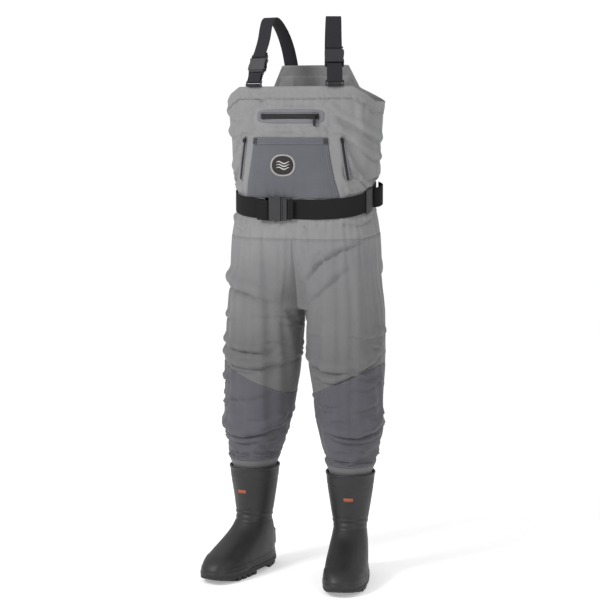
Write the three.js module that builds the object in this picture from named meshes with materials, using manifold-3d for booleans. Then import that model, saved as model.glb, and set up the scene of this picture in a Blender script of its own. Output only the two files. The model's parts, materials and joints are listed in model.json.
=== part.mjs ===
// Chest waders, standing as they are worn, in millimetres.
// +Z is up, the front faces -Y, and the wearer's left is +X. The origin is under the middle of the
// whole object, on the plane that the lugs of the two outsoles stand on.
import * as THREE from "three";
import { mergeVertices } from "three/addons/utils/BufferGeometryUtils.js";
import Module from "manifold-3d";

const wasm = await Module();
wasm.setup();

// ---------------------------------------------------------------- driving sizes

const gap = 0.35; // left between any two pieces that touch
const fabricWall = 3; // laminate, lining and seam tape together
const rubberWall = 4.5;
const linerWall = 3;
const overlayLift = 0.9; // between the fabric and what is sewn or welded on it

const chestHalfWidth = 203; // the girth of the hips and thighs follows it
const bootHeight = 272; // rim of the rubber boot
const inseam = 428; // from the rim of the boot to the crotch
const rise = 178; // from the crotch to the seam round the hips
const bibLength = 365; // from that seam to the top of the bib in front
const sideDrop = 36; // from the top of the bib in front to under the arms
const backTabRise = 57; // and up to the top of the tab behind the shoulders
const crotchHeight = bootHeight + inseam;
const hipSeam = crotchHeight + rise;
const chestHeight = hipSeam + bibLength;
const sideHeight = chestHeight - sideDrop;
const backTabHeight = chestHeight + backTabRise;
const hemHeight = 31;
const wide = chestHalfWidth / 203;
const upLeg = (share) => bootHeight + inseam * share;
const upBib = (share) => hipSeam + bibLength * share;
// The upper seam of the knee panel rises towards the outside.
const kneePanel = { top: upLeg(0.572), slope: 0.42, middle: 116 * wide };
const cuffTop = bootHeight + 19;
const cuffDepthInBoot = 24;
const ankle = { x: 131 * wide, y: -27 };
const toeOut = THREE.MathUtils.degToRad(13);

const beltWidth = 50;
const beltThickness = 2.2;
const beltLift = 4.2; // from the fabric to the middle of the webbing
const beltFlatLift = 2.2; // the same along the straight part in front
const beltLevel = hipSeam + 90; // of the belt's middle at the sides
const beltBuckle = { x: -26, standOff: 6.3 };
const adjuster = { from: -0.3, to: -0.06, thickness: 2.4 };

const strapWidth = 38;
const strapThickness = 1.8;
const strapPivotHeight = backTabHeight - 62; // the straps are sewn to the back panel below this line
const strapPivotY = 88;
const strapLean = 0.4; // the front ends lean back this much for each millimetre up
const anchorHeight = chestHeight + 7; // middle of the loops on the front hem
const anchorY = -88;
const strapTop = anchorHeight + 167;
const strapFront = 107 * wide; // clear of the rounded corners of the chest
const strapsX = {
  right: { back: 139 - chestHalfWidth, front: -strapFront },
  left: { back: 38, front: strapFront },
};
const buckleWall = 5; // of the female half, beside its cavity
const prongPlay = 2.6; // in front of and behind the prongs, so that the strap can swing out

const chestZip = { x: -5, z: chestHeight - 74, length: 152, tapeWidth: 13, patchLength: 178, patchWidth: 35 };
const handZip = {
  topX: chestHalfWidth - 76,
  topZ: chestHeight - 126,
  bottomX: chestHalfWidth - 61,
  bottomZ: beltLevel + 44,
  width: 13,
};
const pocket = {
  x: -4,
  topZ: chestHeight - 127,
  bottomZ: beltLevel + beltWidth / 2 - 17,
  topHalf: handZip.topX - 29,
  bottomHalf: handZip.bottomX - 20,
  thickness: 2.2,
};
const badge = { x: -20, z: pocket.topZ - 68, halfWidth: 34, halfHeight: 27, thickness: 1.2 };

const soleLug = 11; // height of the lugs
const solePlate = 11;
const soleTop = soleLug + solePlate;
const soleFlange = 3; // the outsole stands out this far round the upper
const toeSpring = 14;
const insoleThickness = 6;

// ---------------------------------------------------------------- materials

const finish = (color, roughness, metalness = 0) =>
  new THREE.MeshStandardMaterial({ color, roughness, metalness });
const shellGrey = finish("#8b8c87", 0.85);
const panelGrey = finish("#606066", 0.85);
const tapeGrey = finish("#77757d", 0.7);
const zipBlack = finish("#2a2a2a", 0.6);
const webBlack = finish("#262626", 0.9);
const moulded = finish("#4b4b50", 0.45);
const bootRubber = finish("#3b3c3a", 0.6);
const soleRubber = finish("#2c2c2b", 0.75);
const neoprene = finish("#3c3f44", 0.95);
const badgeCloth = finish("#34302f", 0.8);
const zipMetal = finish("#34343a", 0.4, 0.8);

// ---------------------------------------------------------------- small helpers

const { lerp, clamp } = THREE.MathUtils;
const steps = (from, to, count) => Array.from({ length: count + 1 }, (_, i) => lerp(from, to, i / count));
const vec = (x, y, z) => new THREE.Vector3(x, y, z);

// Straight-line lookup in a list of rows that fall or rise in `key`.
function rowAt(rows, key, value) {
  const rising = rows[rows.length - 1][key] > rows[0][key];
  let i = rows.findIndex((row) => (rising ? row[key] >= value : row[key] <= value));
  if (i < 0) i = rows.length - 1;
  if (i === 0) return rows[0];
  const before = rows[i - 1];
  const share = clamp((value - before[key]) / (rows[i][key] - before[key]), 0, 1);
  const mixed = {};
  for (const name of Object.keys(before)) mixed[name] = lerp(before[name], rows[i][name], share);
  return mixed;
}

function power(value, exponent) {
  return Math.sign(value) * Math.abs(value) ** exponent;
}

function surfaceNormal(point, u, v, du, dv) {
  const along = point(u + du, v).sub(point(u - du, v));
  const up = point(u, v + dv).sub(point(u, v - dv));
  return along.cross(up).normalize();
}

function indexed(positions, index) {
  const geometry = new THREE.BufferGeometry();
  geometry.setAttribute("position", new THREE.Float32BufferAttribute(positions, 3));
  geometry.setIndex(index);
  return geometry;
}

// Turns a closed mesh the right way out.
function outward(geometry) {
  const spots = geometry.attributes.position;
  const index = geometry.index;
  const [a, b, c] = [vec(0, 0, 0), vec(0, 0, 0), vec(0, 0, 0)];
  let volume = 0;
  for (let i = 0; i < index.count; i += 3) {
    a.fromBufferAttribute(spots, index.getX(i));
    b.fromBufferAttribute(spots, index.getX(i + 1));
    c.fromBufferAttribute(spots, index.getX(i + 2));
    volume += a.dot(b.cross(c));
  }
  if (volume > 0) return geometry;
  for (let i = 0; i < index.count; i += 3) {
    const second = index.getX(i + 1);
    index.setX(i + 1, index.getX(i + 2));
    index.setX(i + 2, second);
  }
  return geometry;
}

// A closed slab between two offsets from the surface point(u, v).
function slab({ point, us, vs, inner, outer, closed = false, du = 0.01, dv = 0.01 }) {
  const columns = us.length;
  const positions = [];
  for (const offset of [outer, inner]) {
    for (const v of vs) {
      for (const u of us) {
        const spot = point(u, v).addScaledVector(surfaceNormal(point, u, v, du, dv), offset);
        positions.push(spot.x, spot.y, spot.z);
      }
    }
  }
  const layer = columns * vs.length;
  const index = [];
  const quad = (a, b, c, d) => index.push(a, b, c, a, c, d);
  const spans = closed ? columns : columns - 1;
  for (let j = 0; j + 1 < vs.length; j++) {
    for (let i = 0; i < spans; i++) {
      const a = j * columns + i;
      const b = j * columns + ((i + 1) % columns);
      quad(a, b, b + columns, a + columns);
      quad(layer + b, layer + a, layer + a + columns, layer + b + columns);
    }
  }
  const topRow = (vs.length - 1) * columns;
  for (let i = 0; i < spans; i++) {
    const next = (i + 1) % columns;
    quad(layer + i, layer + next, next, i);
    quad(topRow + i, topRow + next, layer + topRow + next, layer + topRow + i);
  }
  if (!closed) {
    for (let j = 0; j + 1 < vs.length; j++) {
      const a = j * columns;
      const b = a + columns - 1;
      quad(layer + a, a, a + columns, layer + a + columns);
      quad(b, layer + b, layer + b + columns, b + columns);
    }
  }
  return outward(indexed(positions, index));
}

// A solid through a stack of rings of the same number of points.
function loft(rings) {
  const count = rings[0].length;
  const positions = rings.flat().flatMap((spot) => [spot.x, spot.y, spot.z]);
  const index = [];
  for (let j = 0; j + 1 < rings.length; j++) {
    for (let i = 0; i < count; i++) {
      const a = j * count + i;
      const b = j * count + ((i + 1) % count);
      index.push(a, b, b + count, a, b + count, a + count);
    }
  }
  for (const [ring, turned] of [[0, true], [rings.length - 1, false]]) {
    const middle = rings[ring].reduce((sum, spot) => sum.add(spot), vec(0, 0, 0)).divideScalar(count);
    const hub = positions.length / 3;
    positions.push(middle.x, middle.y, middle.z);
    for (let i = 0; i < count; i++) {
      const a = ring * count + i;
      const b = ring * count + ((i + 1) % count);
      index.push(...(turned ? [hub, b, a] : [hub, a, b]));
    }
  }
  return outward(indexed(positions, index));
}

// A flat band whose edge follows a path of [p, q] points; place(p, q, across) puts it in the object.
function ribbon({ path, thickness, width, place, closed = false }) {
  const count = path.length;
  const rim = path.map(([p, q], i) => {
    const before = path[closed ? (i + count - 1) % count : Math.max(i - 1, 0)];
    const after = path[closed ? (i + 1) % count : Math.min(i + 1, count - 1)];
    const [dp, dq] = [after[0] - before[0], after[1] - before[1]];
    const length = Math.hypot(dp, dq);
    return { p, q, np: -dq / length, nq: dp / length };
  });
  const positions = [];
  const half = thickness / 2;
  for (const { p, q, np, nq } of rim) {
    const corners = [[-half, -width / 2], [half, -width / 2], [half, width / 2], [-half, width / 2]];
    for (const [side, across] of corners) {
      const spot = place(p + np * side, q + nq * side, across);
      positions.push(spot.x, spot.y, spot.z);
    }
  }
  const index = [];
  const spans = closed ? count : count - 1;
  for (let i = 0; i < spans; i++) {
    for (let k = 0; k < 4; k++) {
      const a = i * 4 + k;
      const b = i * 4 + ((k + 1) % 4);
      const c = ((i + 1) % count) * 4 + ((k + 1) % 4);
      const d = ((i + 1) % count) * 4 + k;
      index.push(a, b, c, a, c, d);
    }
  }
  if (!closed) {
    const last = (count - 1) * 4;
    index.push(0, 2, 1, 0, 3, 2, last, last + 1, last + 2, last, last + 2, last + 3);
  }
  return outward(indexed(positions, index));
}

// A smooth path through a few points.
function smooth(points, count) {
  const curve = new THREE.CatmullRomCurve3(points.map(([p, q]) => vec(p, q, 0)), false, "centripetal");
  return curve.getPoints(count).map((spot) => [spot.x, spot.y]);
}

function toSolid(geometry) {
  const bare = geometry.clone();
  for (const name of Object.keys(bare.attributes)) if (name !== "position") bare.deleteAttribute(name);
  const merged = mergeVertices(bare, 1e-4);
  return new wasm.Manifold(
    new wasm.Mesh({
      numProp: 3,
      vertProperties: new Float32Array(merged.attributes.position.array),
      triVerts: new Uint32Array(merged.index.array),
    }),
  );
}

function toGeometry(solid) {
  const mesh = solid.getMesh();
  const positions = [];
  for (let i = 0; i < mesh.numVert; i++) {
    const spot = mesh.vertProperties.subarray(i * mesh.numProp, i * mesh.numProp + 3);
    positions.push(...spot);
  }
  return indexed(positions, Array.from(mesh.triVerts));
}

const joined = (solids) => solids.reduce((whole, next) => whole.add(next));

function block([x0, y0, z0], [x1, y1, z1]) {
  const box = new THREE.BoxGeometry(x1 - x0, y1 - y0, z1 - z0);
  return toSolid(box.translate((x0 + x1) / 2, (y0 + y1) / 2, (z0 + z1) / 2));
}

// An outline in the first two axes, extruded along the third.
function plate(outline, z0, z1) {
  const shape = new THREE.Shape(outline.map(([x, y]) => new THREE.Vector2(x, y)));
  const geometry = new THREE.ExtrudeGeometry(shape, { depth: z1 - z0, bevelEnabled: false });
  return toSolid(geometry.translate(0, 0, z0));
}

function moved(geometry, place) {
  const spots = geometry.attributes.position;
  for (let i = 0; i < spots.count; i++) {
    const to = place(spots.getX(i), spots.getY(i), spots.getZ(i));
    spots.setXYZ(i, to.x, to.y, to.z);
  }
  return outward(geometry);
}

const waders = new THREE.Group();
function add(name, geometry, material) {
  const mesh = new THREE.Mesh(geometry, material);
  mesh.name = name;
  waders.add(mesh);
  return mesh;
}

const sides = [
  { name: "right", sign: -1 },
  { name: "left", sign: 1 },
];

// ---------------------------------------------------------------- the bib

// Half width, half depths before and behind, and how far a section dips towards the front.
const squareness = 2.8;
const beltHalf = beltWidth / 2 + 1;
const torsoRows = [
  { v: backTabHeight, a: 203, f: 86, b: 72, tilt: 0 },
  { v: chestHeight, a: 203, f: 92, b: 84, tilt: 0 },
  { v: sideHeight, a: 203, f: 98, b: 92, tilt: 0 },
  { v: upBib(0.7452), a: 193, f: 104, b: 98, tilt: 0 },
  { v: upBib(0.6356), a: 188, f: 107, b: 100, tilt: 0.02 },
  { v: upBib(0.5233), a: 188, f: 109, b: 101, tilt: 0.1 },
  { v: upBib(0.4137), a: 188, f: 108, b: 100, tilt: 0.2 },
  { v: beltLevel + beltHalf, a: 174, f: 101, b: 95, tilt: 0.28 },
  { v: beltLevel - beltHalf, a: 176, f: 102, b: 96, tilt: 0.28 },
  { v: hipSeam + 28, a: 188, f: 108, b: 104, tilt: 0.15 },
  { v: hipSeam, a: 190, f: 110, b: 108, tilt: 0.08 },
  { v: crotchHeight + rise * 0.7022, a: 193, f: 111, b: 112, tilt: 0 },
  { v: crotchHeight + rise * 0.4719, a: 197, f: 111, b: 113, tilt: 0 },
  { v: crotchHeight + rise * 0.2528, a: 201, f: 108, b: 111, tilt: 0 },
].map((row) => ({ ...row, a: row.a * wide }));
const bibLevels = torsoRows.map((row) => row.v);

function torsoPoint(theta, v) {
  const row = rowAt(torsoRows, "v", v);
  const x = row.a * power(Math.cos(theta), 2 / squareness);
  const share = power(Math.sin(theta), 2 / squareness);
  const y = share * (share < 0 ? row.f : row.b);
  return vec(x, y, v + row.tilt * y);
}

// The point of the front that has this x and this height.
function frontPoint(x, z) {
  let v = z;
  let y = 0;
  for (let i = 0; i < 8; i++) {
    const row = rowAt(torsoRows, "v", v);
    y = -row.f * (1 - (Math.abs(x) / row.a) ** squareness) ** (1 / squareness);
    v = z - row.tilt * y;
  }
  return vec(x, y, z);
}

const chestHalf = torsoRows[0].a;
const angleAt = (x) => Math.acos(power(x / chestHalf, squareness / 2));
const halfColumns = [0, 30, 60, 90, 118, 150, 166, 180, 192, 200].map((x) => x * wide);
const seamAngle = gap / chestHalf;
const backAngles = [
  seamAngle,
  ...[...halfColumns].reverse().map(angleAt),
  ...halfColumns.slice(1).map((x) => Math.PI - angleAt(x)),
  Math.PI - seamAngle,
];
const frontAngles = backAngles.map((angle) => angle + Math.PI);

const frontTop = [
  { x: 0, top: chestHeight },
  { x: 150 * wide, top: chestHeight },
  { x: 180 * wide, top: lerp(sideHeight, chestHeight, 0.5) },
  { x: 197 * wide, top: sideHeight },
];
const backTop = [
  { x: 0, top: backTabHeight },
  { x: 90 * wide, top: backTabHeight },
  { x: 118 * wide, top: chestHeight },
  { x: 197 * wide, top: sideHeight },
];
const topOf = (rows) => (theta) => {
  const x = Math.abs(chestHalf * power(Math.cos(theta), 2 / squareness));
  return rowAt(rows, "x", Math.min(x, 197 * wide)).top;
};

const bodyLevels = [hipSeam + gap, ...bibLevels.slice(3, 10).reverse()];
for (const [name, angles, top] of [
  ["front", frontAngles, topOf(frontTop)],
  ["back", backAngles, topOf(backTop)],
]) {
  const below = (theta) => top(theta) - hemHeight - gap;
  const panel = (theta, t) => {
    const levels = [...bodyLevels, below(theta)];
    const k = clamp(Math.floor(t), 0, levels.length - 2);
    return torsoPoint(theta, lerp(levels[k], levels[k + 1], t - k));
  };
  const hem = (theta, t) => torsoPoint(theta, lerp(top(theta) - hemHeight, top(theta), t));
  const across = { us: angles, outer: 0, inner: -fabricWall };
  const vs = [...bodyLevels.keys(), bodyLevels.length];
  add(`bib_${name}`, slab({ point: panel, vs, ...across, dv: 0.02 }), shellGrey);
  add(`${name}_hem`, slab({ point: hem, vs: [0, 0.5, 1], ...across, dv: 0.02 }), shellGrey);
}

// ---------------------------------------------------------------- hips and legs

const legRows = [
  { z: crotchHeight + rise * 0.5618, x: 99 * wide, y: 0, a: 90 * wide, b: 98, turn: 0 },
  { z: crotchHeight + rise * 0.3371, x: 103 * wide, y: 0, a: 97 * wide, b: 103, turn: 0 },
  { z: crotchHeight + rise * 0.1236, x: 107 * wide, y: 0, a: 103.5 * wide, b: 105, turn: 0 },
  { z: upLeg(0.9720), x: 109 * wide, y: 0, a: 106 * wide, b: 106, turn: 0 },
  { z: upLeg(0.8598), x: 110 * wide, y: -3, a: 107 * wide, b: 105, turn: 0 },
  { z: upLeg(0.7430), x: 113 * wide, y: -6, a: 105 * wide, b: 102, turn: 0 },
  { z: upLeg(0.6262), x: 117 * wide, y: -10, a: 101 * wide, b: 98, turn: 0 },
  { z: upLeg(0.5093), x: 119 * wide, y: -13, a: 95 * wide, b: 92, turn: 0 },
  { z: upLeg(0.4159), x: 121 * wide, y: -16, a: 92 * wide, b: 90, turn: 0.2 },
  { z: upLeg(0.3224), x: 125 * wide, y: -20, a: 88 * wide, b: 87, turn: 0.4 },
  { z: upLeg(0.2290), x: 128 * wide, y: -24, a: 79, b: 80, turn: 0.6 },
  { z: upLeg(0.1355), x: 130 * wide, y: -27, a: 72, b: 75, turn: 0.8 },
  { z: bootHeight + 28, x: ankle.x, y: ankle.y, a: 65, b: 70, turn: 1 },
  { z: bootHeight + 12, x: ankle.x, y: ankle.y, a: 60, b: 66, turn: 1 },
  { z: bootHeight, x: ankle.x, y: ankle.y, a: 55, b: 61, turn: 1 },
  { z: bootHeight - cuffDepthInBoot, x: ankle.x, y: ankle.y, a: 52, b: 57, turn: 1 },
];

function legRing(row, sign, shrink, z) {
  return steps(0, Math.PI * 2, 18).slice(0, -1).map((theta) => {
    const x = (row.a - shrink) * Math.cos(theta);
    const y = (row.b - shrink) * Math.sin(theta);
    const turn = sign * row.turn * toeOut;
    const [c, s] = [Math.cos(turn), Math.sin(turn)];
    return vec(sign * row.x + x * c - y * s, row.y + x * s + y * c, z);
  });
}

function legSolid(sign, shrink) {
  const rings = legRows.map((row, i) => {
    const below = i === legRows.length - 1 ? row.z - (shrink ? 5 : 0) : row.z;
    return legRing(row, sign, shrink, below);
  });
  return toSolid(loft(rings));
}

function hipSolid(shrink) {
  const angles = steps(0, Math.PI * 2, 36).slice(0, -1);
  const levels = [hipSeam + (shrink ? 6 : -gap), hipSeam - 28, ...bibLevels.slice(11)];
  const rings = levels.map((v) => angles.map((theta) => {
    const spot = torsoPoint(theta, v);
    const inward = vec(spot.x / 1.6, spot.y, 0).normalize();
    return spot.addScaledVector(inward, -shrink);
  }));
  const closing = [[crotchHeight + rise * 0.1236, 0.93], [crotchHeight + 6, 0.8], [crotchHeight, 0.62]];
  for (const [z, share] of closing) {
    const last = rings[4];
    rings.push(last.map((spot) => vec(spot.x * share, spot.y * share, z + shrink)));
  }
  return toSolid(loft(rings));
}

const outerTrousers = joined([hipSolid(0), legSolid(-1, 0), legSolid(1, 0)]);
const innerTrousers = joined([hipSolid(fabricWall), legSolid(-1, fabricWall), legSolid(1, fabricWall)]);
const trousers = outerTrousers.subtract(innerTrousers);

for (const { name, sign } of sides) {
  const half = trousers.trimByPlane([sign, 0, 0], gap / 2);
  const length = Math.hypot(1, kneePanel.slope);
  const up = [(-sign * kneePanel.slope) / length, 0, 1 / length];
  const seam = (kneePanel.top - kneePanel.slope * kneePanel.middle) / length;
  const leg = half.trimByPlane(up, seam + gap / 2);
  const below = half.trimByPlane(up.map((value) => -value), -(seam - gap / 2));
  const knee = below.trimByPlane([0, 0, 1], cuffTop + gap / 2);
  const cuff = below.trimByPlane([0, 0, -1], -(cuffTop - gap / 2));
  add(`${name}_leg`, toGeometry(leg), shellGrey);
  add(`${name}_knee_panel`, toGeometry(knee), panelGrey);
  add(`${name}_cuff`, toGeometry(cuff), shellGrey);
}

// ---------------------------------------------------------------- boots

// Distances from the ankle to the toe and to the heel, half width, and how much wider the ball of
// the foot is than the heel.
const bootRows = [
  { z: bootHeight, toe: 68, heel: 68, half: 62, flare: 0 },
  { z: bootHeight - 40, toe: 64, heel: 64, half: 58.5, flare: 0 },
  { z: lerp(150, bootHeight - 40, 0.488), toe: 57, heel: 58, half: 53, flare: 0 },
  { z: 150, toe: 55, heel: 53, half: 47.5, flare: 0.01 },
  { z: 126, toe: 64, heel: 52, half: 44.5, flare: 0.02 },
  { z: 107, toe: 85, heel: 56, half: 43.5, flare: 0.05 },
  { z: 92, toe: 112, heel: 61, half: 44, flare: 0.08 },
  { z: 79, toe: 143, heel: 65, half: 45.5, flare: 0.1 },
  { z: 67, toe: 174, heel: 68, half: 48, flare: 0.11 },
  { z: 54, toe: 199, heel: 70, half: 49.5, flare: 0.12 },
  { z: 41, toe: 214, heel: 71, half: 50, flare: 0.12 },
  { z: soleTop + gap, toe: 217, heel: 71, half: 50, flare: 0.12 },
];

// Seen from above, phi = 0 is the toe and half a turn is the heel.
function footPoint(phi, z, grow = 0) {
  const row = rowAt(bootRows, "z", z);
  const length = (row.toe + row.heel) / 2 + grow;
  const roundness = 2 / (2 + row.flare * 3);
  const forward = power(Math.cos(phi), roundness);
  const across = power(Math.sin(phi), roundness) * (row.half + grow);
  const inside = row.flare * 70 * Math.max(forward, 0) ** 2;
  const middle = (row.toe - row.heel) / 2;
  return { across: across * (1 + row.flare * forward), forward: middle + length * forward, inside };
}

function bootFrame(sign) {
  const [c, s] = [Math.cos(toeOut), Math.sin(toeOut)];
  return (across, forward, z) =>
    vec(sign * (ankle.x + across * c + forward * s), ankle.y + across * s - forward * c, z);
}

const bootColumns = 24;
const around = steps(0, Math.PI * 2, bootColumns).slice(0, -1);
const arc = (middle, reach) =>
  steps(-reach, reach, 2 * reach).map((k) => middle + (k * Math.PI * 2) / bootColumns);
for (const { name, sign } of sides) {
  const place = bootFrame(sign);
  const upper = (phi, z) => {
    const spot = footPoint(phi, z);
    return place(spot.across - spot.inside, spot.forward, z);
  };
  const outside = -sign; // which way the surface normal points away from the foot
  const shell = (point, us, vs, near, far, closed) =>
    slab({ point, us, vs, inner: near * outside * -1, outer: far * outside * -1, closed, dv: 1 });
  const levels = bootRows.map((row) => row.z);
  add(`${name}_boot`, shell(upper, around, levels, -rubberWall, 0, true), bootRubber);

  const linerDepth = rubberWall + gap;
  const linerLevels = levels.slice(1, 4);
  const liner = shell(upper, around, linerLevels, -linerDepth - linerWall, -linerDepth, true);
  add(`${name}_boot_liner`, liner, neoprene);

  const toeLevels = [soleTop + gap, 41, 54];
  add(`${name}_toe_cap`, shell(upper, arc(0, 5), toeLevels, gap, 3, false), bootRubber);
  add(`${name}_heel_kick`, shell(upper, arc(Math.PI, 2), [54, 67, 79, 92], gap, 5, false), bootRubber);

  const outline = (grow) => around.map((phi) => {
    const spot = footPoint(phi, soleTop + gap, grow);
    return [spot.across - spot.inside, spot.forward];
  });
  const bars = [];
  const lugs = [
    [-70, -50], [-44, -28], [-22, -4], [66, 82], [89, 105], [112, 128], [135, 151], [158, 174], [181, 212],
  ];
  for (const [from, to] of lugs) {
    bars.push(block([-70, from, -1], [-4, to, soleLug + 1]));
    bars.push(block([4, from, -1], [70, to, soleLug + 1]));
  }
  const tread = plate(outline(soleFlange - 2), 0, soleLug + 0.5).intersect(joined(bars));
  const rise = Math.hypot(toeSpring, 66);
  const sole = plate(outline(soleFlange), soleLug, soleTop)
    .add(tread)
    .trimByPlane([0, -toeSpring / rise, 66 / rise], (-toeSpring * 150) / rise);
  add(`${name}_outsole`, moved(toGeometry(sole), place), soleRubber);

  const insole = plate(outline(-rubberWall - 1), soleTop + gap, soleTop + gap + insoleThickness);
  add(`${name}_insole`, moved(toGeometry(insole), place), neoprene);
}

// ---------------------------------------------------------------- side-release buckles

// Both halves lie along the second axis: they meet at 0, the female half above and the male half
// below. The first axis runs across the webbing and the third out of the front.
const slotLength = 4.5;
function femaleBuckle(webbing, bar) {
  const half = webbing / 2 + buckleWall;
  const inside = webbing / 2 + 2.6;
  const outline = [
    [-half, 1], [-half + 1, 0], [half - 1, 0], [half, 1], [half, 12], [half - 2, 20], [half, 30],
    [half - 1, 42], [-half + 1, 42], [-half, 30], [-half + 2, 20], [-half, 12],
  ];
  let body = plate(outline, -6.5, 6.5);
  body = body.subtract(block([-inside, -1, -1.6 - prongPlay], [inside, 27, 1.6 + prongPlay]));
  for (const side of [-1, 1]) {
    const [x0, x1] = [side * (inside - 3), side * (half + 2)].sort((a, b) => a - b);
    body = body.subtract(block([x0, 7, -1.6 - prongPlay], [x1, 19, 1.6 + prongPlay]));
  }
  body = body.subtract(block([-inside, 42 - bar - slotLength, -8], [inside, 42 - bar, 8]));
  const above = block([-half - 1, 31, 2.6], [half + 1, 43, 8]);
  const below = block([-half - 1, 31, -8], [half + 1, 43, -2.6]);
  return body.subtract(above).subtract(below);
}

function maleBuckle(webbing, base, bar) {
  const half = webbing / 2 + buckleWall - 2;
  const inside = webbing / 2 + 2.6;
  let body = block([-half, -base, -2.4], [half, -0.6, 2.4]).add(block([-half, -4, -4.4], [half, -0.6, 4.4]));
  body = body.subtract(block([-inside, -base + bar, -5], [inside, -base + bar + slotLength, 5]));
  body = body.add(block([-4, -1, -1.6], [4, 20, 1.6]));
  for (const side of [-1, 1]) {
    const outline = [
      [inside - 6.5, -1], [inside - 1.6, -1], [inside - 0.5, 9], [inside - 0.5, 20], [inside - 4, 24],
      [inside - 9, 18], [inside - 5.5, 14],
    ];
    const turned = outline.map(([x, y]) => [side * x, y]);
    body = body.add(plate(side < 0 ? turned.reverse() : turned, -1.6, 1.6));
  }
  return body;
}

// ---------------------------------------------------------------- shoulder straps

const leanLength = Math.hypot(1, strapLean);
const leanUp = [-strapLean / leanLength, 1 / leanLength];
const bridle = 4.1; // from the middle of a bar to the webbing on either side of it
for (const { name, sign } of sides) {
  const { back, front } = strapsX[name];
  const reach = Math.hypot(front - back, anchorY - strapPivotY);
  const forward = [(front - back) / reach, (anchorY - strapPivotY) / reach];
  // The webbing lies flat on the back panel and turns towards the chest on its way forward.
  const yaw = Math.atan2(forward[0], -forward[1]);
  const plan = (s, z, w) => {
    const turned = yaw * clamp(s / 70, 0, 1);
    const x = back + s * forward[0] + w * Math.cos(turned);
    return vec(x, strapPivotY + s * forward[1] + w * Math.sin(turned), z);
  };
  // q runs up the front of the strap from the anchor loop, d runs out of its face.
  const face = (q, d) =>
    [reach + leanUp[0] * q + leanUp[1] * d, anchorHeight + leanUp[1] * q - leanUp[0] * d];
  const onFace = (w, q, d) => plan(...face(q, d), w);

  const femaleBelow = sign > 0;
  const meet = femaleBelow ? 86 : 35.5;
  const [base, femaleBar, maleBar] = [11, 6, 2.5];
  const flip = (solid) => toGeometry(solid.rotate([0, 0, 180]));
  const female = femaleBuckle(strapWidth, femaleBar);
  const male = maleBuckle(strapWidth, base, maleBar);
  const femaleGeometry = femaleBelow ? flip(female) : toGeometry(female);
  const maleGeometry = femaleBelow ? flip(male) : toGeometry(male);
  const shifted = (w, q, d) => onFace(w, q + meet, d);
  add(`${name}_strap_buckle_female`, moved(femaleGeometry, shifted), moulded);
  add(`${name}_strap_buckle_male`, moved(maleGeometry, shifted), moulded);

  // Where the webbing passes through the slot of the upper half and of the lower half.
  const upperBar = femaleBelow ? meet + base - maleBar : meet + 42 - femaleBar;
  const lowerBar = femaleBelow ? meet - 42 + femaleBar : meet - base + maleBar;
  const turn = upperBar - 2.2;
  const scale = reach / 183;
  const arch = [
    [0.4, 0.0095], [6.5, 0.1676], [13.5, 0.352], [30, 0.5978], [54, 0.8045], [82, 0.9497], [105, 1],
    [120, 0.9609], [129, 0.8547],
  ].map(([s, share]) => [s * scale, lerp(strapPivotHeight, strapTop, share)]);
  const straight = [meet < 60 ? 126 : 130, meet < 60 ? 108 : 121].map((q) => face(q, 0));
  const hook = [
    [18, 2.2], [8, bridle], [3, bridle], [0.7, bridle - 1], [0, 1.6], [0, -1.6], [0.7, 1 - bridle],
    [3, -bridle], [16, 1 - bridle],
  ];
  const path = [
    ...smooth([...arch, ...straight], 26),
    ...hook.map(([q, d]) => face(turn + q, d)),
  ];
  add(`${name}_strap`, ribbon({ path, thickness: strapThickness, width: strapWidth, place: plan }), webBlack);

  // The webbing between the lower half and the anchor loop.
  const [low, high] = [2.6, lowerBar + 2.2];
  const round = [
    [low, 1.6], [low + 0.7, bridle - 1], [low + 3, bridle],
    [high - 3, bridle], [high - 0.7, bridle - 1], [high, 1.6],
    [high, -1.6], [high - 0.7, 1 - bridle], [high - 3, -bridle],
    [low + 3, -bridle], [low + 0.7, 1 - bridle], [low, -1.6],
  ].map(([q, d]) => face(q, d));
  const strapWeb = { thickness: strapThickness, width: strapWidth, place: plan };
  const loop = ribbon({ ...strapWeb, path: round, closed: true });
  add(`${name}_anchor_web`, loop, webBlack);

  const halfRing = strapWidth / 2 + 4.5;
  const ring = block([-halfRing, -6.5, -2], [halfRing, 8, 2])
    .subtract(block([-strapWidth / 2 - 1, -3.4, -3], [strapWidth / 2 + 1, 4.9, 3]));
  add(`${name}_anchor_loop`, moved(toGeometry(ring), onFace), moulded);

  // The tab that holds the loop is sewn inside the hem and comes over its top edge.
  const overHem = [
    [reach - 12.9, chestHeight - 28], [reach - 12.9, chestHeight - 2], [reach - 11, chestHeight + 4],
    [reach - 6, chestHeight + 6.2], [reach, chestHeight + 6.4], [reach + 4.4, chestHeight + 6.2],
    [reach + 7, chestHeight + 3.8], [reach + 8, chestHeight + 0.2],
  ];
  const tabWidth = strapWidth - 4;
  const anchorTab = ribbon({ path: overHem, thickness: 1.6, width: tabWidth, place: plan });
  add(`${name}_anchor_tab`, anchorTab, webBlack);

  // The sewn end of the strap, below the line it bends at.
  const sewn = [[-0.7, -2.8], [-3.2, -14], [-6.2, -31], [-8.2, -48]]
    .map(([s, z]) => [s, strapPivotHeight + z]);
  add(`${name}_strap_end`, ribbon({ ...strapWeb, path: sewn }), webBlack);
}

// ---------------------------------------------------------------- belt

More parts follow.
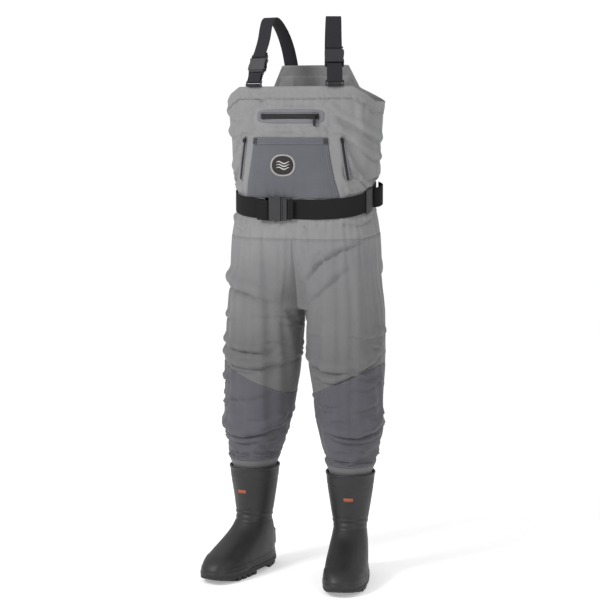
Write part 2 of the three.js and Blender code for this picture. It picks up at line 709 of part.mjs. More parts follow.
const beltRow = rowAt(torsoRows, "v", beltLevel);
const beltFrontY = -(beltRow.f + beltFlatLift);
const onBelt = (x, y, w) => vec(x, y, beltLevel + w + beltRow.tilt * y);
function beltPlan(theta, lift = beltLift) {
  const flat = (angle) => {
    const spot = torsoPoint(angle, beltLevel);
    return vec(spot.x, spot.y, 0);
  };
  const along = flat(theta + 0.01).sub(flat(theta - 0.01)).normalize();
  const spot = flat(theta).add(vec(along.y, -along.x, 0).multiplyScalar(lift));
  return [spot.x, lift > beltLift ? spot.y : Math.max(spot.y, beltFrontY)];
}
const outwardY = (d) => beltFrontY - d;
const femaleEnd = beltBuckle.x - 42;
const barTurn = femaleEnd + 6 + 2.4;
const beltBridle = 4.7;
const standOff = beltBuckle.standOff;
const beltPath = [
  [-30, beltBridle - 2.6], [-14, beltBridle - 0.4], [-11, beltBridle], [-3, beltBridle],
  [-0.8, beltBridle - 1], [0, 1.8], [0, -1.8], [-0.8, 1 - beltBridle], [-3, -beltBridle], [-12, -beltBridle],
].map(([along, out]) => [barTurn + along, outwardY(standOff + out)]);
const beltAngle = (x) => angleAt((x * chestHalf) / beltRow.a);
for (const theta of steps(Math.PI + beltAngle(90), -beltAngle(50), 34)) {
  beltPath.push(beltPlan(theta));
}
beltPath.push([beltBuckle.x + 4, beltFrontY]);
add("belt", ribbon({ path: beltPath, thickness: beltThickness, width: beltWidth, place: onBelt }), webBlack);

const beltFrontZ = beltLevel + beltRow.tilt * beltFrontY;
const onBuckle = (across, along, out) =>
  vec(beltBuckle.x - along, outwardY(standOff + out), beltFrontZ + across);
add("belt_buckle_female", moved(toGeometry(femaleBuckle(beltWidth, 6)), onBuckle), moulded);
add("belt_buckle_male", moved(toGeometry(maleBuckle(beltWidth, 26, 6)), onBuckle), moulded);

// The webbing folded round the bar of the male half.
const maleBarEnd = 26;
const fold = [
  [maleBarEnd + 7, 3.4], [maleBarEnd - 1, bridle + 0.1], [maleBarEnd - 6, bridle], [maleBarEnd - 8, 1.8],
  [maleBarEnd - 8, -1.2], [maleBarEnd - 6.6, -3.7],
];
const onFold = (along, out, across) => onBuckle(across, -along, out);
const foldRibbon = ribbon({ path: fold, thickness: 1.6, width: beltWidth - 1, place: onFold });
add("belt_fold", foldRibbon, webBlack);

// The adjuster lies on the belt at the wearer's left, and the spare webbing stands out behind it.
const adjusterPoint = (theta, w) => {
  const [x, y] = beltPlan(theta, beltLift + beltThickness / 2 + gap);
  return vec(x, y, beltLevel + w + beltRow.tilt * y);
};
const halfAdjuster = beltWidth / 2 + 4.5;
const adjusterPlate = slab({
  point: adjusterPoint,
  us: [...steps(adjuster.from, adjuster.to, 3)],
  vs: [-halfAdjuster, halfAdjuster],
  inner: 0,
  outer: adjuster.thickness,
});
add("belt_adjuster", adjusterPlate, moulded);

const sideX = beltPlan(0)[0];
const tailPath = [[2.6, -4], [9, -3], [17, 6], [18.5, 22], [11, 34], [0.5, 44]];
const tail = smooth(tailPath.map(([out, y]) => [sideX + out, y]), 12);
add("belt_tail_loop", ribbon({ path: tail, thickness: 1.8, width: beltWidth, place: onBelt }), webBlack);

// Two keepers sewn on the back hold the belt up.
for (const { name, sign } of sides) {
  const theta = Math.PI / 2 - sign * 0.5;
  const half = beltWidth / 2;
  const keeper = [
    [-half - 9, -1.3], [-half - 5, 0.8], [-half - 2.8, 2.8],
    [half + 2.8, 2.8], [half + 5, 0.8], [half + 9, -1.2],
  ];
  const onBack = (w, d, across) => {
    const [x, y] = beltPlan(theta + across / 150, beltLift + d + 0.001);
    return vec(x, y, beltLevel + w + beltRow.tilt * y);
  };
  add(`${name}_belt_keeper`, ribbon({ path: keeper, thickness: 1.2, width: 24, place: onBack }), shellGrey);
}

// ---------------------------------------------------------------- pockets and zips

const overlay = { du: 0.5, dv: 0.5 };
const pocketHalf = (z) => {
  const share = Math.max((pocket.topZ - z) / (pocket.topZ - pocket.bottomZ), 0);
  return lerp(pocket.topHalf, pocket.bottomHalf, share ** 1.3);
};
const pocketPanel = slab({
  point: (u, z) => frontPoint(pocket.x + u * pocketHalf(z), z),
  us: steps(-1, 1, 14),
  vs: steps(pocket.bottomZ, pocket.topZ, 8),
  inner: overlayLift + 0.3,
  outer: overlayLift + 0.3 + pocket.thickness,
  du: 0.01,
  dv: 0.5,
});
add("kangaroo_pocket", pocketPanel, panelGrey);

const badgeShape = (u, w) => frontPoint(badge.x + u * badge.halfWidth, badge.z + w * badge.halfHeight);
const badgeLift = overlayLift + 0.3 + pocket.thickness + gap;
const badgePanel = slab({
  point: (u, w) => badgeShape(u * Math.sqrt(1 - 0.84 * w * w), w),
  us: steps(-1, 1, 6),
  vs: steps(-1, 1, 12),
  inner: badgeLift,
  outer: badgeLift + badge.thickness,
});
add("pocket_badge", badgePanel, badgeCloth);

// The chest zip runs straight across, inside a welded frame.
const frame = { long: chestZip.patchLength / 2, high: chestZip.patchWidth / 2 };
const framePoint = (u, w) => frontPoint(chestZip.x + u, chestZip.z + w);
const window = { long: chestZip.length / 2 + 3, high: chestZip.tapeWidth / 2 + 3 };
const frameSlab = slab({
  point: framePoint,
  us: steps(-frame.long, frame.long, 12),
  vs: [-frame.high, 0, frame.high],
  inner: overlayLift - 0.5,
  outer: overlayLift + 0.5,
  ...overlay,
});
const opening = block(
  [chestZip.x - window.long, -200, chestZip.z - window.high],
  [chestZip.x + window.long, 0, chestZip.z + window.high],
);
add("chest_zip_frame", toGeometry(toSolid(frameSlab).subtract(opening)), tapeGrey);

const zipY = frontPoint(chestZip.x, chestZip.z).y;
const straightZip = (x, z, out) => vec(chestZip.x + x, zipY - out, chestZip.z + z);
const halfZip = chestZip.length / 2;
const zipParts = block([-halfZip, -chestZip.tapeWidth / 2, 0.9], [halfZip, chestZip.tapeWidth / 2, 2])
  .add(block([-halfZip, -2, 1.5], [halfZip, 2, 3]));
add("chest_zip", moved(toGeometry(zipParts), straightZip), zipBlack);

const sliderX = halfZip - 9;
const pinLift = 9; // from the fabric to the pin that the pull swings on
const cheeks = [-1, 1].map((side) => {
  const [x0, x1] = [side * 2.3, side * 3.5].sort((a, b) => a - b);
  return block([x0, -1.6, 5], [x1, 1.6, pinLift + 1.2]);
});
const pin = wasm.Manifold.cylinder(6, 0.9, 0.9, 16, true).rotate([0, 90, 0]).translate([0, 0, pinLift]);
const sliderBody = joined([block([-7, -4.5, 3.35], [7, 4.5, 5.6]), ...cheeks, pin]);
const onChestZip = (x, z, out) => straightZip(sliderX + x, z, out);
add("chest_zip_slider", moved(toGeometry(sliderBody), onChestZip), zipMetal);

// The pull has an eye round the pin and hangs from it.
const eye = block([-1.9, -2.3, pinLift - 2.2], [1.9, 2.3, pinLift + 2.2])
  .subtract(block([-3, -1.3, pinLift - 1.3], [3, 1.3, pinLift + 1.3]));
const tongue = [
  [-1.6, -2], [-2.2, -5], [-3.8, -9], [-3.8, -21], [-2.4, -24],
  [2.4, -24], [3.8, -21], [3.8, -9], [2.2, -5], [1.6, -2],
];
const pullBody = eye.add(plate(tongue.reverse(), pinLift - 0.6, pinLift + 0.6));
add("chest_zip_pull", moved(toGeometry(pullBody), onChestZip), zipMetal);

for (const { name, sign } of sides) {
  const along = (t) => ({
    x: lerp(handZip.topX, handZip.bottomX, t),
    z: lerp(handZip.topZ, handZip.bottomZ, t),
  });
  const strip = (u, t) => {
    const { x, z } = along(1 - t);
    return frontPoint(sign * (x + u), z);
  };
  const faceOut = sign;
  const lift = [overlayLift, overlayLift + 1.8].map((value) => value * faceOut);
  const zip = slab({
    point: strip,
    us: [-handZip.width / 2, 0, handZip.width / 2],
    vs: steps(0, 1, 8),
    inner: lift[0],
    outer: lift[1],
    du: 0.5,
  });
  add(`${name}_hand_zip`, zip, zipBlack);
  const sliderLift = [overlayLift + 1.8 + gap, overlayLift + 5.2].map((value) => value * faceOut);
  const [inner, outer] = sliderLift;
  const slider = slab({ point: strip, us: [-4, 4], vs: [0.88, 0.97], inner, outer, du: 0.5 });
  add(`${name}_hand_zip_slider`, slider, zipMetal);
}

// ---------------------------------------------------------------- the shared origin

const bounds = new THREE.Box3();
for (const mesh of waders.children) {
  mesh.geometry.computeBoundingBox();
  bounds.union(mesh.geometry.boundingBox);
}
const centre = bounds.getCenter(vec(0, 0, 0));
for (const mesh of waders.children) mesh.geometry.translate(-centre.x, -centre.y, -bounds.min.z);

export default waders;
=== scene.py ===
import functools
import json
import math
import random

import bmesh
import bpy
import numpy as np
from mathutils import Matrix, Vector


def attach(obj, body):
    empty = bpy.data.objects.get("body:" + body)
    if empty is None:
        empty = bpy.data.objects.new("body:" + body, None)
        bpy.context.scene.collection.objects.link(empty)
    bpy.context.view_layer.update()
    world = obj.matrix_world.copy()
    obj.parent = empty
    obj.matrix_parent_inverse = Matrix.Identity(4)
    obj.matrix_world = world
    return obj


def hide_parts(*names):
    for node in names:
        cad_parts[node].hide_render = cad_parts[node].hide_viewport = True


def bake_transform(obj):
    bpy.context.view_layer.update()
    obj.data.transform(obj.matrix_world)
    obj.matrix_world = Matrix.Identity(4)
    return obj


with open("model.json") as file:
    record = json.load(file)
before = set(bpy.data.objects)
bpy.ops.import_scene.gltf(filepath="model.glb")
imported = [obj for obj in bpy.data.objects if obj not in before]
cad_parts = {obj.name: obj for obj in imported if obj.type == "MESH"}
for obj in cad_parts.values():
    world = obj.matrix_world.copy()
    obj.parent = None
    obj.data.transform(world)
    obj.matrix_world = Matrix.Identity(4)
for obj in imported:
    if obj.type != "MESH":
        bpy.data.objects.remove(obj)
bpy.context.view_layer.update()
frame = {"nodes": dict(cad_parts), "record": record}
nodes = frame["nodes"]
shiftY = 65.127  # mm from the wearer's middle to the shared origin


def spot(x, y, z):
    return Vector((x, y + shiftY, z)) * 0.001


def lerp(a, b, t):
    return a + (b - a) * t


def ease(edge0, edge1, value):
    t = min(max((value - edge0) / (edge1 - edge0), 0), 1)
    return t * t * (3 - 2 * t)


def power(value, exponent):
    return math.copysign(abs(value) ** exponent, value)


@functools.lru_cache(None)
def rowAt(rows, key):
    keys = [row[0] for row in rows]
    if keys[0] > keys[-1]:
        rows = rows[::-1]
        keys = keys[::-1]
    return [float(np.interp(key, keys, [row[i] for row in rows])) for i in range(1, len(rows[0]))]


# ---- materials


def linear(hexCode):
    raw = [int(hexCode[i : i + 2], 16) / 255 for i in (1, 3, 5)]
    return [c / 12.92 if c <= 0.04045 else ((c + 0.055) / 1.055) ** 2.4 for c in raw] + [1]


def addNode(tree, kind, inputs=None, **settings):
    node = tree.nodes.new(kind)
    for name, value in settings.items():
        setattr(node, name, value)
    for name, value in (inputs or {}).items():
        if isinstance(value, bpy.types.NodeSocket):
            tree.links.new(value, node.inputs[name])
        else:
            node.inputs[name].default_value = value
    return node


def result(tree, kind, inputs=None, **settings):
    return addNode(tree, kind, inputs, **settings).outputs[0]


def calculated(tree, operation, a, b=0.0):
    return result(tree, "ShaderNodeMath", {0: a, 1: b}, operation=operation)


def noise(tree, coords, scale, detail, **more):
    return result(tree, "ShaderNodeTexNoise", {"Vector": coords, "Scale": scale, "Detail": detail, **more})


def newMaterial(name):
    material = bpy.data.materials.new(name)
    material.use_nodes = True
    tree = material.node_tree
    tree.nodes.clear()
    shader = addNode(tree, "ShaderNodeBsdfPrincipled")
    addNode(tree, "ShaderNodeOutputMaterial", {"Surface": shader.outputs[0]})
    return material, tree, shader


def mixColor(tree, factor, a, b):
    node = addNode(tree, "ShaderNodeMix", data_type="RGBA")
    for index, value in ((0, factor), (6, a), (7, b)):
        if isinstance(value, bpy.types.NodeSocket):
            tree.links.new(value, node.inputs[index])
        else:
            node.inputs[index].default_value = value
    return node.outputs[2]


def mapRange(tree, value, fromMin, fromMax, toMin, toMax):
    limits = {"Value": value, "From Min": fromMin, "From Max": fromMax, "To Min": toMin, "To Max": toMax}
    return addNode(tree, "ShaderNodeMapRange", limits).outputs[0]


def fabricMaterial(name, dark, light, rough=0.8, threadMm=0.8, bump=0.25, lowerPaintedShade=1.0):
    material, tree, shader = newMaterial(name)
    coords = addNode(tree, "ShaderNodeTexCoord").outputs["Object"]
    wave = []
    for direction in ("X", "Z"):
        node = addNode(
            tree,
            "ShaderNodeTexWave",
            {"Vector": coords, "Scale": 160 / threadMm, "Distortion": 0.6, "Detail": 1.0},
            bands_direction=direction,
        )
        wave.append(node.outputs["Fac"])
    weave = calculated(tree, "MULTIPLY", wave[0], wave[1])
    cloudy = noise(tree, coords, 9.0, 5.0, Roughness=0.6)
    grain = noise(tree, coords, 900.0, 2.0)
    tone = mapRange(tree, cloudy, 0.3, 0.7, 0.0, 1.0)
    color = mixColor(tree, tone, linear(dark), linear(light))
    specks = mapRange(tree, grain, 0.3, 0.7, 0.88, 1.08)
    # painted shade: the colour is darkened below 0.86 m, standing in for light falling off down the legs
    height = addNode(tree, "ShaderNodeSeparateXYZ", {"Vector": coords}).outputs["Z"]
    fade = mapRange(tree, height, 0.6, 0.86, lowerPaintedShade, 1.0)  # metres up the leg
    specks = calculated(tree, "MULTIPLY", specks, fade)
    tinted = result(tree, "ShaderNodeVectorMath", {0: color, 3: specks}, operation="SCALE")
    tree.links.new(tinted, shader.inputs["Base Color"])
    tree.links.new(mapRange(tree, cloudy, 0.2, 0.8, rough - 0.06, rough + 0.08), shader.inputs["Roughness"])
    shader.inputs["Specular IOR Level"].default_value = 0.3
    shader.inputs["Sheen Weight"].default_value = 0.12
    shader.inputs["Sheen Roughness"].default_value = 0.5
    crinkle = noise(tree, coords, 38.0, 4.0, Roughness=0.55)
    coarse = result(tree, "ShaderNodeBump", {"Height": crinkle, "Strength": 0.35, "Distance": 0.0022})
    threads = {"Height": weave, "Strength": bump, "Distance": 0.0002, "Normal": coarse}
    tree.links.new(result(tree, "ShaderNodeBump", threads), shader.inputs["Normal"])
    return material


shellCloth = fabricMaterial("shellCloth", "#787879", "#828283")  # coated nylon, warm grey
legCloth = fabricMaterial("legCloth", "#727274", "#7c7c7d", lowerPaintedShade=0.66)  # painted shade: the shell cloth made darker, and darker still down the leg, where less light falls
panelCloth = fabricMaterial("panelCloth", "#4b4a50", "#545359")  # heavier nylon, bluish grey
pocketCloth = fabricMaterial("pocketCloth", "#505157", "#5a5b61")
webbing = fabricMaterial("webbing", "#1b1b1c", "#262627", rough=0.85, threadMm=2.2, bump=0.8)


def plainMaterial(name, color, rough, metal=0.0, grainMm=0.6, bump=0.15):
    material, tree, shader = newMaterial(name)
    coords = addNode(tree, "ShaderNodeTexCoord").outputs["Object"]
    cloud = noise(tree, coords, 30.0, 4.0)
    grain = noise(tree, coords, 1000 / grainMm, 2.0)
    base = linear(color)
    lighter = [c * 1.18 for c in base[:3]] + [1]
    mottled = mixColor(tree, mapRange(tree, cloud, 0.3, 0.7, 0, 1), base, lighter)
    tree.links.new(mottled, shader.inputs["Base Color"])
    tree.links.new(mapRange(tree, cloud, 0.25, 0.75, rough - 0.07, rough + 0.07), shader.inputs["Roughness"])
    shader.inputs["Metallic"].default_value = metal
    bumpNode = addNode(tree, "ShaderNodeBump", {"Height": grain, "Strength": bump, "Distance": 0.0003})
    tree.links.new(bumpNode.outputs[0], shader.inputs["Normal"])
    return material


def webbingMaterial(name, dark, light):
    material, tree, shader = newMaterial(name)
    uv = addNode(tree, "ShaderNodeUVMap", uv_map="weave").outputs[0]
    parts = addNode(tree, "ShaderNodeSeparateXYZ", {0: uv}).outputs
    # ribs 2.4 mm apart across the band, picks 1.5 mm apart along it, each rib's picks half a step on
    ribs = calculated(tree, "MULTIPLY", parts["X"], 2 * math.pi / 0.0024)  # a rib every 2.4 mm
    picks = calculated(tree, "MULTIPLY", parts["Y"], 2 * math.pi / 0.0015)
    pickWave = calculated(tree, "SINE", calculated(tree, "ADD", picks, ribs))
    height = calculated(tree, "ADD", pickWave, calculated(tree, "COSINE", ribs))
    coords = addNode(tree, "ShaderNodeTexCoord").outputs["Object"]
    fuzz = mapRange(tree, noise(tree, coords, 700.0, 2.0), 0.3, 0.7, 0.8, 1.2)
    tone = mapRange(tree, height, -2, 2, 0, 1)
    color = mixColor(tree, tone, linear(dark), linear(light))
    tinted = result(tree, "ShaderNodeVectorMath", {0: color, 3: fuzz}, operation="SCALE")
    tree.links.new(tinted, shader.inputs["Base Color"])
    shader.inputs["Roughness"].default_value = 0.8
    shader.inputs["Specular IOR Level"].default_value = 0.25
    bumpNode = addNode(tree, "ShaderNodeBump", {"Height": height, "Strength": 0.6, "Distance": 0.0003})
    tree.links.new(bumpNode.outputs[0], shader.inputs["Normal"])
    return material


strapWebbing = webbingMaterial("strapWebbing", "#19181c", "#302e33")  # polypropylene, 38 mm
beltWebbing = webbingMaterial("beltWebbing", "#0b0b0c", "#171718")  # nylon, 50 mm

acetal = plainMaterial("acetal", "#1d1d20", 0.42)  # moulded buckles
bootRubber = plainMaterial("bootRubber", "#171719", 0.5, grainMm=1.2, bump=0.2)
soleRubber = plainMaterial("soleRubber", "#222222", 0.7, grainMm=1.0)
foam = plainMaterial("foam", "#303236", 0.95)
zipMetal = plainMaterial("zipMetal", "#2b2b2e", 0.35, metal=0.8)

slotLook = {
    "shell_fabric": shellCloth,
    "panel_fabric": panelCloth,
    "seam_tape": panelCloth,
    "zip_tape": webbing,
    "webbing": webbing,
    "moulded_plastic": acetal,
    "boot_rubber": bootRubber,
    "outsole_rubber": soleRubber,
    "neoprene": foam,
    "badge_cloth": webbing,
    "zip_metal": zipMetal,
}
for part in frame["record"]["subparts"]:
    node = nodes[part["node"]]
    node.data.materials.clear()
    node.data.materials.append(slotLook[part["material_slot"]])


def toObject(name, points, faces, material):
    mesh = bpy.data.meshes.new(name)
    mesh.from_pydata([tuple(p) for p in points], [], faces)
    mesh.update()
    obj = bpy.data.objects.new(name, mesh)
    bpy.context.scene.collection.objects.link(obj)
    mesh.materials.append(material)
    mesh.shade_smooth()
    return obj


def baked(obj):
    shown = obj.evaluated_get(bpy.context.evaluated_depsgraph_get())
    mesh = bpy.data.meshes.new_from_object(shown)
    obj.modifiers.clear()
    obj.data = mesh
    return obj


# ---- the garment's cut

squareness = 2.8
torsoRows = (
    (1300, 203, 86, 72, 0),
    (1243, 203, 92, 84, 0),
    (1207, 203, 98, 92, 0),
    (1150, 193, 104, 98, 0),
    (1110, 188, 107, 100, 0.02),
    (1069, 188, 109, 101, 0.1),
    (1029, 188, 108, 100, 0.2),
    (994, 174, 101, 95, 0.28),
    (942, 176, 102, 96, 0.28),
    (906, 188, 108, 104, 0.15),
    (878, 190, 110, 108, 0.08),
    (825, 193, 111, 112, 0),
    (784, 197, 111, 113, 0),
    (745, 203, 108, 111, 0),
    (700, 212, 104, 107, 0),
)
legRows = (
    (800, 99, 0, 90, 98, 0),
    (760, 103, 0, 97, 103, 0),
    (722, 107, 0, 103.5, 105, 0),
    (688, 109, 0, 106, 106, 0),
    (640, 110, -3, 107, 105, 0),
    (590, 113, -6, 105, 102, 0),
    (540, 117, -10, 101, 98, 0),
    (490, 119, -13, 95, 92, 0),
    (450, 121, -16, 92, 90, 0.2),
    (410, 125, -20, 88, 87, 0.4),
    (370, 128, -24, 79, 80, 0.6),
    (330, 130, -27, 72, 75, 0.8),
    (300, 131, -27, 65, 70, 1),
    (284, 131, -27, 60, 66, 1),
    (272, 131, -27, 55, 61, 1),
    (248, 131, -27, 52, 57, 1),
)
toeOut = math.radians(13)


def torsoPoint(theta, v):
    a, f, b, tilt = rowAt(torsoRows, v)
    x = a * power(math.cos(theta), 2 / squareness)
    share = power(math.sin(theta), 2 / squareness)
    y = share * (f if share < 0 else b)
    return Vector((x, y, v + tilt * y))


def frontTop(x):
    return float(np.interp(abs(x), [0, 150, 180, 197], [1243, 1243, 1225, 1207]))


def backTop(x):
    return float(np.interp(abs(x), [0, 90, 118, 197], [1300, 1300, 1243, 1207]))


def legPoint(sign, angle, z):
    cx, cy, a, b, turn = rowAt(legRows, z)
    x = a * math.cos(angle)
    y = b * math.sin(angle)
    twist = sign * turn * toeOut
    c, s = math.cos(twist), math.sin(twist)
    return Vector((sign * cx + x * c - y * s, cy + x * s + y * c, z))


garment = {
    "columns": 200, "bridge": 32, "hemRows": 7, "bibRows": 74, "hipRows": 40,
    "thighRows": 42, "shinRows": 52, "cuffRows": 10, "hipSeam": 878, "crotch": 700, "cuffTop": 291,
    "bottom": 250, "blendTop": 850, "hem": 31,
}


def garmentMesh():
    count = garment["columns"]
    half = count // 2
    bridge = garment["bridge"]
    crotch = garment["crotch"]
    points, faces, tags = [], [], []
    inner = math.pi * bridge / (half + bridge)  # half the leg's turn that faces the other leg

    def legAngle(sign, k):
        if k <= half:
            turn = lerp(-math.pi + inner, math.pi - inner, k / half)
        else:
            turn = lerp(math.pi - inner, math.pi + inner, (k - half) / bridge)
        return turn if sign > 0 else math.pi - turn

    fine = np.linspace(-math.pi / 2, math.pi / 2, 721)
    outline = [torsoPoint(t, 1100) for t in fine]
    lengths = [0.0]
    for p, q in zip(outline, outline[1:]):
        lengths.append(lengths[-1] + math.hypot(q.x - p.x, q.y - p.y))
    quarter = [float(np.interp(k / half * lengths[-1], lengths, fine)) for k in range(half + 1)]
    thetas = [quarter[k] if k <= half else math.pi - quarter[count - k] for k in range(count)]

    def torsoSpot(k, v):
        p = torsoPoint(thetas[k], v)
        w = ease(garment["blendTop"], crotch, v)
        if w > 0:
            sign = 1 if k <= half else -1
            p = p.lerp(legPoint(sign, legAngle(sign, k if sign > 0 else count - k), v), w)
            if k in (0, half):
                p.x = 0
        return p

    levels = []
    for k in range(count):
        x = 203 * power(math.cos(thetas[k]), 2 / squareness)
        top = frontTop(x) if math.sin(thetas[k]) < 0.01 else backTop(x)
        column = list(np.linspace(top, top - garment["hem"], garment["hemRows"] + 1))
        column += list(np.linspace(column[-1], garment["hipSeam"], garment["bibRows"] + 1))[1:]
        column += list(np.linspace(column[-1], crotch, garment["hipRows"] + 1))[1:]
        levels.append(column)
    rows = []
    lines = {}  # rows of point numbers beside the seams
    for j in range(len(levels[0])):
        rows.append(list(range(len(points), len(points) + count)))
        points += [torsoSpot(k, levels[k][j]) for k in range(count)]
    lines["torso"] = rows
    hipRow = garment["hemRows"] + garment["bibRows"]
    for j in range(len(rows) - 1):
        for k in range(count):
            n = (k + 1) % count
            faces.append((rows[j][k], rows[j + 1][k], rows[j + 1][n], rows[j][n]))
            front = k < half / 2 or k >= count - half / 2
            bib, hem = ("bib_front", "front_hem") if front else ("bib_back", "back_hem")
            leg = "left_leg" if k < half else "right_leg"
            if j < garment["hemRows"]:
                tags.append((hem, bib) if j == garment["hemRows"] - 1 else (hem,))
            elif j < hipRow:
                tags.append((bib,))
            else:
                tags.append((leg, bib) if j == hipRow else (leg,))
    last = rows[-1]
    front, back = points[last[0]], points[last[half]]
    across = []
    for i in range(1, bridge):
        t = i / bridge
        across.append(len(points))
        p = back.lerp(front, t)
        p.z -= 5 * math.sin(math.pi * t)
        points.append(p)
    for sign, side in ((1, "left"), (-1, "right")):
        rim = [last[k] if sign > 0 else last[-k % count] for k in range(half + 1)]
        upper = rim + across
        size = len(upper)
        angles = [legAngle(sign, k) for k in range(size)]
        seams = [517 + 0.42 * (abs(legPoint(sign, t, 517).x) - 116) for t in angles]
        lines[side] = [upper]
        thigh, shin, cuff = (garment[rows] for rows in ("thighRows", "shinRows", "cuffRows"))
        steps = [("leg", thigh), ("knee_panel", shin), ("cuff", cuff)]
        ends = [crotch, seams, garment["cuffTop"], garment["bottom"]]
        for stage, (part, number) in enumerate(steps):
            for j in range(1, number + 1):
                lower = []
                for k in range(size):
                    start, end = (e[k] if isinstance(e, list) else e for e in ends[stage : stage + 2])
                    lower.append(len(points))
                    points.append(legPoint(sign, angles[k], lerp(start, end, j / number)))
                for k in range(size):
                    n = (k + 1) % size
                    quad = (upper[k], lower[k], lower[n], upper[n])
                    faces.append(quad if sign > 0 else quad[::-1])
                    under = {("knee_panel", 1): "leg", ("knee_panel", number): "cuff"}.get((part, j))
                    tags.append((f"{side}_{part}", f"{side}_{under}") if under else (f"{side}_{part}",))
                upper = lower
                lines[side].append(upper)
    return points, faces, tags, lines


# folds: where the line runs as (degrees round from the front, height in mm), how far it stands out
# and how wide it is. On a leg the degrees run outwards, on the body they run to the left.
folds = [
    # right leg
    ("body", [(-100, 775), (-55, 752), (-25, 736), (-2, 705)], 14, 34),
    ("right", [(95, 620), (45, 598), (0, 590), (-45, 590)], 9, 20),
    ("right", [(95, 590), (40, 560), (0, 548), (-50, 558), (-85, 570)], 11, 20),
    ("right", [(35, 545), (0, 535), (-20, 540)], 6, 14),
    ("right", [(80, 680), (50, 665), (20, 668)], 5, 16),
    ("right", [(100, 520), (60, 505), (20, 510)], 6, 16),
    ("right", [(90, 470), (50, 462), (-10, 470), (-50, 485)], 5, 15),
    ("right", [(70, 440), (35, 430), (0, 430)], 6, 18),
    ("right", [(100, 405), (40, 380), (0, 370), (-45, 385), (-100, 400)], 13, 22),
    ("right", [(75, 375), (30, 360), (-10, 355), (-60, 362)], 8, 15),
    ("right", [(-30, 398), (-60, 402), (-95, 420)], 7, 16),
    ("right", [(60, 332), (20, 322), (-5, 326)], 5, 16),
    ("right", [(230, 650), (180, 636), (115, 624)], 7, 24),
    ("right", [(235, 566), (180, 544), (95, 584)], 10, 22),
    ("right", [(240, 504), (180, 486), (115, 494)], 8, 20),
    ("right", [(250, 424), (185, 400), (110, 406)], 10, 20),
    ("right", [(250, 376), (180, 350), (105, 362)], 8, 18),
    # left leg
    ("body", [(2, 712), (15, 748), (27, 780), (45, 810)], 7, 22),
    ("body", [(3, 760), (12, 810), (30, 850), (75, 890)], 9, 22),
    ("body", [(4, 798), (16, 845), (32, 868)], 5, 16),
    ("left", [(60, 640), (85, 632), (115, 630)], 8, 24),
    ("left", [(-85, 570), (-30, 552), (10, 548), (60, 568), (95, 605)], 11, 24),
    ("left", [(-60, 530), (-5, 520), (30, 545), (65, 572)], 8, 17),
    ("left", [(90, 525), (50, 505), (10, 500)], 5, 15),
    ("left", [(20, 445), (60, 460), (80, 468)], 6, 18),
    ("left", [(-70, 420), (-15, 393), (25, 386), (60, 398), (95, 412)], 13, 22),
    ("left", [(-50, 398), (-5, 373), (35, 370), (90, 386)], 8, 15),
    ("left", [(-30, 326), (10, 318), (60, 334)], 5, 16),
    ("left", [(230, 640), (180, 628), (115, 652)], 7, 24),
    ("left", [(235, 560), (180, 538), (110, 588)], 10, 22),
    ("left", [(240, 500), (180, 482), (115, 496)], 8, 20),
    ("left", [(250, 430), (185, 404), (110, 412)], 10, 20),
    ("left", [(250, 372), (180, 352), (105, 366)], 8, 18),
    # hips and seat
    ("body", [(6, 935), (6, 910), (4, 885)], 4, 9),
    ("body", [(-62, 922), (-48, 905), (-36, 888)], 5, 12),
    ("body", [(35, 930), (55, 918), (80, 924), (95, 935)], 6, 14),
    ("body", [(178, 706), (150, 736), (118, 775), (95, 806)], 9, 26),
    ("body", [(-178, 706), (-150, 730), (-118, 758), (-95, 776)], 9, 26),
    ("body", [(128, 925), (142, 902), (156, 886)], 5, 12),
    # bib
    ("body", [(-32, 1240), (-20, 1215), (-6, 1197)], 5, 14),
    ("body", [(30, 1240), (50, 1212), (75, 1192), (92, 1180)], 6, 18),
    ("body", [(18, 1192), (36, 1160), (60, 1138), (95, 1112), (110, 1108)], 10, 22),
    ("body", [(45, 1112), (70, 1088), (92, 1068), (110, 1062)], 8, 20),
    ("body", [(55, 1036), (78, 1006), (100, 996)], 8, 18),
    ("body", [(-85, 1190), (-60, 1172), (-38, 1150)], 8, 18),
    ("body", [(-92, 1140), (-60, 1122), (-36, 1130)], 7, 18),
    ("body", [(-88, 1060), (-72, 1046), (-55, 1030)], 6, 16),
    ("body", [(-32, 1140), (-5, 1134), (30, 1140)], 4, 10),
    ("body", [(-120, 1190), (-155, 1152), (-188, 1158)], 5, 22),
    ("body", [(120, 1130), (155, 1095), (180, 1098)], 5, 22),
    ("body", [(-120, 1060), (-145, 1040), (-165, 1034)], 5, 18),
]

# small gathers where the belt draws the cloth in, and short creases down the legs
chance = random.Random(12)
for number in range(34):
    turn = number * 360 / 34 + chance.uniform(-3, 3)
    slant = chance.uniform(-6, 6)
    reach = chance.uniform(24, 52)
    folds.append(("body", [(turn, 996), (turn + slant, 996 + reach)], chance.uniform(2, 4), 9))
    turn += chance.uniform(-4, 4)
    reach = chance.uniform(20, 44)
    folds.append(("body", [(turn, 940), (turn - slant, 940 - reach)], chance.uniform(2, 4), 9))
for part in ("right", "left"):
    for number in range(36):
        turn = chance.uniform(0, 360)
        height = chance.choice((chance.uniform(310, 480), chance.uniform(500, 690)))
        bend = chance.uniform(-14, 14)
        path = [(turn - 22, height + bend), (turn, height), (turn + 24, height + bend * 0.6)]
        folds.append((part, path, chance.uniform(2.5, 5), chance.uniform(9, 14)))


def foldLine(part, stations):
    line = []
    for (turn, height), (nextTurn, nextHeight) in zip(stations, stations[1:]):
        for t in np.linspace(0, 1, 9)[:-1]:
            degrees, z = lerp(turn, nextTurn, t), lerp(height, nextHeight, t)
            if part == "body":
                line.append(torsoPoint(math.radians(degrees - 90), z))
            else:
                sign = 1 if part == "left" else -1
                line.append(legPoint(sign, math.radians(sign * degrees - 90), z))
    return np.array(line)


